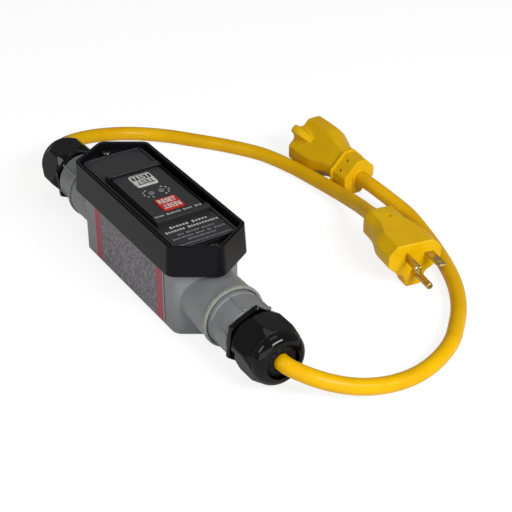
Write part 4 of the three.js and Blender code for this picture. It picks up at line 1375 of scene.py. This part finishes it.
    def build_nut(self) -> None:
        """The dome nut: six flats that run out under a round dome."""
        start, end = self.start("dome_nut"), self.end("dome_nut")
        dome, wide, lip = end - self.dome_length, self.nut_radius, self.opening + 0.5
        envelope = moulded([
            (start, 14.9, 0), (start, 17.6, 0.3), (start + 4.6, wide, 0.3), (dome - 5.4, wide, 0.4),
            (dome - 0.1, self.dome_radius + 0.5, 0.3), (dome + 0.1, self.dome_radius, 0.1),
            (dome + 0.3, self.dome_radius, 0),
        ])
        for step in range(1, 19):
            t = math.pi / 2 * step / 18
            envelope.append((dome + 0.3 + (self.dome_length - 0.5) * math.sin(t),
                             lip + (self.dome_radius - lip) * math.cos(t)))
        envelope += moulded([
            (end, lip - 0.1, 0), (end, self.opening, 0.3), (end - 5.0, self.opening - 0.2, 0),
        ])
        fine: Outline = []
        for (a, ra), (b, rb) in zip(envelope, envelope[1:]):
            count = max(1, int(math.hypot(b - a, rb - ra) / 0.8))
            fine += [(a + (b - a) * k / count, ra + (rb - ra) * k / count) for k in range(count)]
        fine.append(envelope[-1])

        def faceted(at: float, radius: float, angle: float) -> Flat:
            """The nut's radius and place, cut to the hexagon below the dome."""
            flat = self.hexagon(angle, self.nut_turn)
            return radius if radius < 17.0 or at > dome else min(radius, flat), at

        sketch = Sketch().skin(Sketch.rounds(fine, 360, faceted), caps=False)
        self.lay("dome_nut", "shell", sketch, FINISHES.gland_black, 22)

    def build_seal(self) -> None:
        """The rubber seal with its closing fingers."""
        start, end = self.start("gland_seal"), self.end("gland_seal")
        profile = moulded([(start, 5.6, 0), (start, 10.4, 0.2), (end - 1.5, 10.6, 0.6), (end, 8.0, 0.6),
                           (end - 0.6, 5.5, 0.3), (start + 1, 5.5, 0)])

        def fingered(at: float, radius: float, angle: float) -> Flat:
            """Cuts a slit between fingers.

            Args:
                at: the place along the seal.
                radius: its radius there.
                angle: the angle around it.

            Returns:
                The radius and the place.
            """
            slit = abs(math.sin(angle * 6)) ** 0.25
            depth = 0.55 * (1 - slit) if at > end - 6 and radius > 6 else 0.0
            return radius - depth, at - depth

        sketch = Sketch().skin(Sketch.rounds(profile, 180, fingered), caps=False)
        self.lay("gland_seal", "fingers", sketch, FINISHES.seal_rubber, 50)

    def build(self) -> None:
        """Builds the gland and dresses the parts that it hides."""
        self.build_ring()
        self.build_adapter()
        self.build_body()
        self.build_nut()
        self.build_seal()
        dress(f"gland_washer_{self.side.word}", FINISHES.seal_rubber)
        coats = (FINISHES.wire_black, FINISHES.wire_white, FINISHES.wire_green)
        for word, finish in zip(("hot", "neutral", "ground"), coats):
            dress(f"{word}_wire_{self.side.word}", finish)


# ---------------------------------------------------------------- plug and connector
@dataclass
class Lobe:
    """The lobe under a head that holds the ground contact."""

    tip: float
    base: float
    depth: float
    length: float
    fade: float = 0.55


@dataclass
class Head:
    """An eight-sided yellow moulding along its own X axis, with a lobe under it."""

    length: float = 60.0
    half: float = 19.5
    top: float = 9.1
    bottom: float = 12.0
    chamfer: float = 6.7
    neck_shift: float = 0.0

    def pose(self) -> Matrix:
        """Where the head lies."""
        return Matrix.Identity(4)

    def cord_end(self, reaches: Sequence[float]) -> Route:
        """The cord's last points, each standing at one of the reaches behind the head's back."""
        centre = (self.top - self.bottom) / 2
        return [tuple(self.pose() @ Vector((-self.length - x, -self.neck_shift, centre))) for x in reaches]

    def section(
        self, half: float, top: float, bottom: float, chamfer: float, lobe: Lobe | None, share: float,
        soft: float,
    ) -> Outline:
        """One cross-section, with the lobe grown to a share of its depth.

        Args:
            half: half its width.
            top: how far it reaches up.
            bottom: how far it reaches down.
            chamfer: the cut at each corner.
            lobe: the lobe, if it has one.
            share: from 0, no lobe, to 1, the whole lobe.
            soft: the rounding of its corners.

        Returns:
            The outline. Every section has the same number of points.
        """
        corners = [(half, chamfer - bottom), (half, top - chamfer), (half - chamfer, top),
                   (chamfer - half, top), (-half, top - chamfer), (-half, chamfer - bottom),
                   (chamfer - half, -bottom)]
        radii = [soft] * 7
        if lobe:
            narrow = 0.6 + 0.4 * share
            base = min(lobe.base, half - chamfer - 0.6) * narrow
            tip = min(lobe.tip * narrow, base - 0.6)
            deep = lobe.depth * share
            flare = base - tip
            shape = [(base, 0.0), (tip + 0.42 * flare, -0.16 * deep), (tip + 0.12 * flare, -0.5 * deep),
                     (tip, -deep)]
            rounding = [2.4 * share, 3.7 * share, 2.4 * share, 2.2 * share]
            left = [(-x, -bottom + z) for x, z in shape]
            right = [(x, -bottom + z) for x, z in reversed(shape)]
            corners += left + right
            radii += rounding + rounding[::-1]
        corners.append((half - chamfer, -bottom))
        radii.append(soft)
        return fillet(corners, radii, 5, True)

    def loft(self, rows: Sequence[tuple[float, float, float, float, float]], lobe: Lobe | None,
             face_round: float = 0.9, soft: float = 1.4) -> Sketch:
        """The moulding through its sections.

        Args:
            rows: (place, half, top, bottom, chamfer) from the back to the face.
            lobe: the lobe, if it has one.
            face_round: the rounding of the face's edge.
            soft: the rounding of the long edges.

        Returns:
            The sketch, along X.
        """
        rings = []
        for at, half, top, bottom, chamfer in self.smooth_rows(rows, face_round):
            share = 0.0
            if lobe:
                fade = lobe.fade * lobe.depth
                share = min(max((at + lobe.length + fade) / fade, 0.0), 1.0)
                share *= 2 - share
            outline = self.section(half, top, bottom, chamfer, lobe, share, soft)
            rings.append([(at, y, z) for y, z in outline])
        return Sketch().skin(rings)

    def smooth_rows(self, rows: Sequence[tuple[float, ...]], face_round: float) -> list[tuple[float, ...]]:
        """Fills in a smooth run of sections and rounds the two ends.

        Args:
            rows: the given sections, from the back to the face.
            face_round: the rounding of the end edges.

        Returns:
            The sections, close together.
        """
        fine = []
        for i in range(len(rows) - 1):
            before, here = rows[max(i - 1, 0)], rows[i]
            on, after = rows[i + 1], rows[min(i + 2, len(rows) - 1)]
            count = max(1, int(abs(on[0] - here[0]) / 1.5))
            for k in range(count):
                t = k / count
                row = [here[0] + (on[0] - here[0]) * t]
                for j in range(1, 5):
                    run = on[0] - here[0]
                    m0 = (on[j] - before[j]) / max(on[0] - before[0], 0.01) * run
                    m1 = (after[j] - here[j]) / max(after[0] - here[0], 0.01) * run
                    a = (1 + 2 * t) * (1 - t) ** 2 * here[j] + t * (1 - t) ** 2 * m0
                    row.append(a + t * t * (3 - 2 * t) * on[j] + t * t * (t - 1) * m1)
                fine.append(tuple(row))
        fine.append(tuple(rows[-1]))
        back, face = fine[0], fine[-1]
        kept = [r for r in fine if back[0] + face_round < r[0] < face[0] - face_round]
        ends = []
        for row, sign in ((back, 1), (face, -1)):
            arc = []
            for k in range(5):
                angle = math.pi / 2 * k / 4
                inset = face_round * (1 - math.sin(angle))
                at = row[0] + sign * face_round * (1 - math.cos(angle))
                arc.append((at, row[1] - inset, row[2] - inset, row[3] - inset, row[4] - 0.4 * inset))
            ends.append(arc)
        return ends[0] + kept + ends[1][::-1]


@dataclass
class Plug(Head):
    """The grounded 20 ampere plug on the line-side cord."""

    length: float = 51.5
    yaw: float = -9.0
    lobe: Lobe = field(default_factory=lambda: Lobe(6.1, 12.6, 11.3, 10.0, 0.65))
    face_place: Flat = (96.3, 137.3)
    blade_height: float = 6.35
    blade_thickness: float = 1.5
    blade_length: float = 18.0
    blade_root: float = 7.0
    hole_at: float = 13.8
    hole_radius: float = 1.55
    pin_radius: float = 2.4
    pin_length: float = 21.0
    pin_drop: float = 11.9
    dimple_at: float = 39.0

    def pose(self) -> Matrix:
        """Where the plug lies."""
        place = Matrix.Translation((*self.face_place, self.bottom + self.lobe.depth))
        return place @ Matrix.Rotation(math.radians(self.yaw), 4, "Z")

    def build_body(self) -> bpy.types.Object:
        """Lofts the yellow body and cuts its dimple.

        Returns:
            The body.
        """
        t, b = self.top, self.bottom
        rows = [(-self.length, 12.2, t - 0.3, b, 4.6), (-46, 12.5, t, b, 4.7), (-40, 12.7, t, b, 4.8),
                (-34, 13.8, t, b, 5.1), (-28, 15.9, t, b, 5.8), (-22, 18.3, t, b, 6.4),
                (-16, 19.4, t, b, 6.7), (0, self.half, t, b, self.chamfer)]
        sketch = self.loft(rows, self.lobe, 0.9, 2.0)
        dimple = Sketch().turned([(t - 2.6, 1.5), (t - 0.3, 2.1), (t + 1, 2.4)], 40, looped=False)
        dimple.move(Matrix.Translation((-self.dimple_at, 0, 0)))
        for shape in (sketch, dimple):
            shape.move(self.pose())
        piece = Piece("plug_moulding", sketch, FINISHES.plug_yellow, stands_for=("plug_body",), crease=38)
        return piece.lay([dimple])

    def blade(self) -> Sketch:
        """Shapes an upright blade along X, with softened edges.

        Returns:
            The blade.
        """
        root, tip, high_edge = -self.blade_root, self.blade_length, self.blade_height / 2
        corners = [(root, -high_edge), (tip, -high_edge), (tip, high_edge), (root, high_edge)]
        flat = fillet(corners, [0.05, 1.1, 1.1, 0.05], 5, True)
        half, centre = self.blade_thickness / 2, (root + tip) / 2

        def at(inset: float) -> Outline:
            """The blade's outline at one inset."""
            return [(x - math.copysign(min(inset, abs(x - centre)), x - centre),
                     y - math.copysign(min(inset, abs(y)), y)) for x, y in flat]

        profile = [(0.3, -half), (0.0, -half + 0.3), (0.0, half - 0.3), (0.3, half)]
        return Sketch().sweep(at, profile).move(Matrix.Rotation(math.pi / 2, 4, "X"))

    def build_blades(self) -> list[bpy.types.Object]:
        """Builds the upright line blade, the level neutral blade and the round ground pin.

        Returns:
            The three pieces.
        """
        made = []
        upright = Matrix.Rotation(math.pi / 2, 4, "X")
        for name, y, roll in (("line_blade", -6.35, 0.0), ("neutral_blade", 10.0, math.pi / 2)):
            place = self.pose() @ Matrix.Translation((0, y, 0)) @ Matrix.Rotation(roll, 4, "X")
            cutter = Sketch().turned([(-2.0, self.hole_radius), (2.0, self.hole_radius)], 40, looped=False)
            cutter.move(place @ Matrix.Translation((self.hole_at, 0, 0)) @ upright)
            piece = Piece(f"{name}_strip", self.blade().move(place), FINISHES.brass, stands_for=(name,))
            made.append(piece.lay([cutter]))
        root, tip, radius = -self.blade_root, self.pin_length, self.pin_radius
        profile = moulded([(root, 0.05, 0), (root, radius, 0.1), (tip, radius, 2.3), (tip, 0.05, 0)], 8)
        pin = Sketch().turned(profile, 64, looped=False).move(ALONG_X)
        pin.move(self.pose() @ Matrix.Translation((0, 0, -self.pin_drop)))
        made.append(Piece("ground_pin_rod", pin, FINISHES.brass, stands_for=("ground_pin",)).lay())
        return made

    def build(self) -> list[bpy.types.Object]:
        """Builds the plug and returns its pieces."""
        return [self.build_body(), *self.build_blades()]


@dataclass
class Connector(Head):
    """The grounded connector on the load-side cord."""

    length: float = 71.0
    lobe: Lobe = field(default_factory=lambda: Lobe(3.1, 6.9, 7.8, 3.0, 2.0))
    face_place: Flat = (-91.0, 178.3)
    collar_start: float = 53.2
    collar_width: float = 2.4
    neck_shift: float = 1.2

    def pose(self) -> Matrix:
        """Finds where the connector lies: rolled onto one chamfer.

        Returns:
            Its place.
        """
        reach = (2 * self.half - self.chamfer + 2 * self.top - self.chamfer) / (2 * math.sqrt(2))
        root = math.sqrt(0.5)
        turn = Matrix(((-1, 0, 0, 0), (0, root, root, 0), (0, root, -root, 0), (0, 0, 0, 1)))
        return Matrix.Translation((*self.face_place, reach + 0.05)) @ turn

    def build_body(self) -> bpy.types.Object:
        """Lofts the yellow body with its collar, neck and sockets.

        Returns:
            The body.
        """
        t, b, start = self.top, self.bottom, self.collar_start
        end = start + self.collar_width
        rows = [(-start - 0.5, 12, t, b, 5), (-47, 12.5, t, b, 5), (-40, 14, t, b, 5.4), (-34, 16.4, t, b, 6),
                (-27, 18.9, t, b, 6.6), (-20, 19.5, t, b, 6.7), (0, self.half, t, b, self.chamfer)]
        head = self.loft(rows, self.lobe, 1.8, 2.2)
        back, nose = -self.length, 1 - self.length
        collar = self.loft([(x, 14.3, 10.0, 13.2, 5.8) for x in (-end, -start)], None, 0.8, 2.0)
        neck = self.loft([(x, 13.0, 9.0, 11.6, 5.0) for x in (back, -end + 0.8)], None, 1.0, 2.0)
        centre = (t - b) / 2 + 0.3
        profile = moulded([
            (back - 1.6, 5.2, 0), (back - 1.6, 6.6, 1.0), (nose, 7.2, 0), (nose, 5.2, 0),
        ])
        boss = Sketch().turned(profile, 64, looped=True)
        boss.move(Matrix.Translation((0, 0, centre)) @ ALONG_X)
        depth = [(0, -14), (0, 1)]
        slots = (((2.1, 7.4), 6.35), ((2.1, 7.4), -6.35), ((7.4, 2.1), -9.8))
        cutters = [Sketch().sweep(box_outline(*size, 0.3, 3), depth).move(Matrix.Translation((x, 0, 0)))
                   for size, x in slots]
        bore = Sketch().turned([(-14, 2.6), (1, 2.6)], 48, looped=False)
        cutters.append(bore.move(Matrix.Translation((0, -11.9, 0))))
        for cutter in cutters:
            cutter.move(ALONG_X)
        vents = [Sketch().sweep(box_outline(2.6, 1.8, 0.5, 3), [(0, -12.4), (0, -9.6)]).move(
            Matrix.Translation((-61.2, y, 0))) for y in (-4.3, 4.3)]
        for shape in (collar, neck, boss, *vents):
            shape.move(Matrix.Translation((0, -self.neck_shift, 0)))
        for shape in (head, collar, neck, boss, *cutters, *vents):
            shape.move(self.pose())
        nodes = ("connector_body",)
        piece = Piece("connector_moulding", head, FINISHES.plug_yellow, stands_for=nodes, crease=38)
        return piece.lay(cutters + vents, [collar, neck, boss])

    def build(self) -> list[bpy.types.Object]:
        """Builds the connector.

        Returns:
            Its pieces.
        """
        body = self.build_body()
        contacts = ("line_contact", "neutral_contact", "ground_contact")
        for name in contacts:
            dress(name, FINISHES.brass)
        return [body, *(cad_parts[name] for name in contacts)]


LOAD_ROUTE: Route = [
    (152, 0.2, 23.5), (160.4, 6.2, 20.6), (169.8, 17.8, 15.8), (176.6, 34, 10.4), (180.4, 53, 6.6),
    (181, 71.7, 5.4), (177, 90.2, 5.4), (166.2, 111.8, 5.4), (152.6, 127.5, 5.4), (137.3, 141.6, 5.4),
    (115.5, 155.9, 5.4), (87.6, 168, 5.4), (57, 177.5, 5.8), (33, 181.6, 8.2), (16, 180, 11.4),
]
LINE_ROUTE: Route = [
    (-152, 0.2, 23.6), (-162.4, 4, 22.9), (-171.5, 13.5, 21.4), (-178, 28.6, 18.6), (-182, 47, 14.8),
    (-180.4, 72.4, 10), (-168.6, 96.5, 6.6), (-149.4, 115, 5.5), (-128, 131.6, 5.4), (-104, 145.6, 5.4),
    (-77, 153.4, 5.4), (-49, 156.8, 6.2), (-18, 157.3, 8.9), (12.9, 153.3, 14.5), (25, 150.1, 17.5),
    (34, 147.8, 19.9),
]


def main() -> None:
    """Builds the cord set and the studio, in order."""
    logging.basicConfig(level=logging.INFO, format="%(name)s: %(message)s")
    studio = Studio()
    studio.set_camera()
    plug, connector = Plug(), Connector()
    load = Cord(Side.LOAD, "connector", LOAD_ROUTE + connector.cord_end((15.6, 8.6, 1.9)))
    line = Cord(Side.LINE, "plug", LINE_ROUTE + plug.cord_end((1.9, -1.0)))
    load_flex, line_flex = load.build(), line.build()
    load.declare(connector.build())
    line.declare(plug.build())
    Housing().build()
    KeyPanel().build()
    Module().build()
    for side in Side:
        Gland(side).build()
    studio.build()


if __name__ == "__main__":
    main()
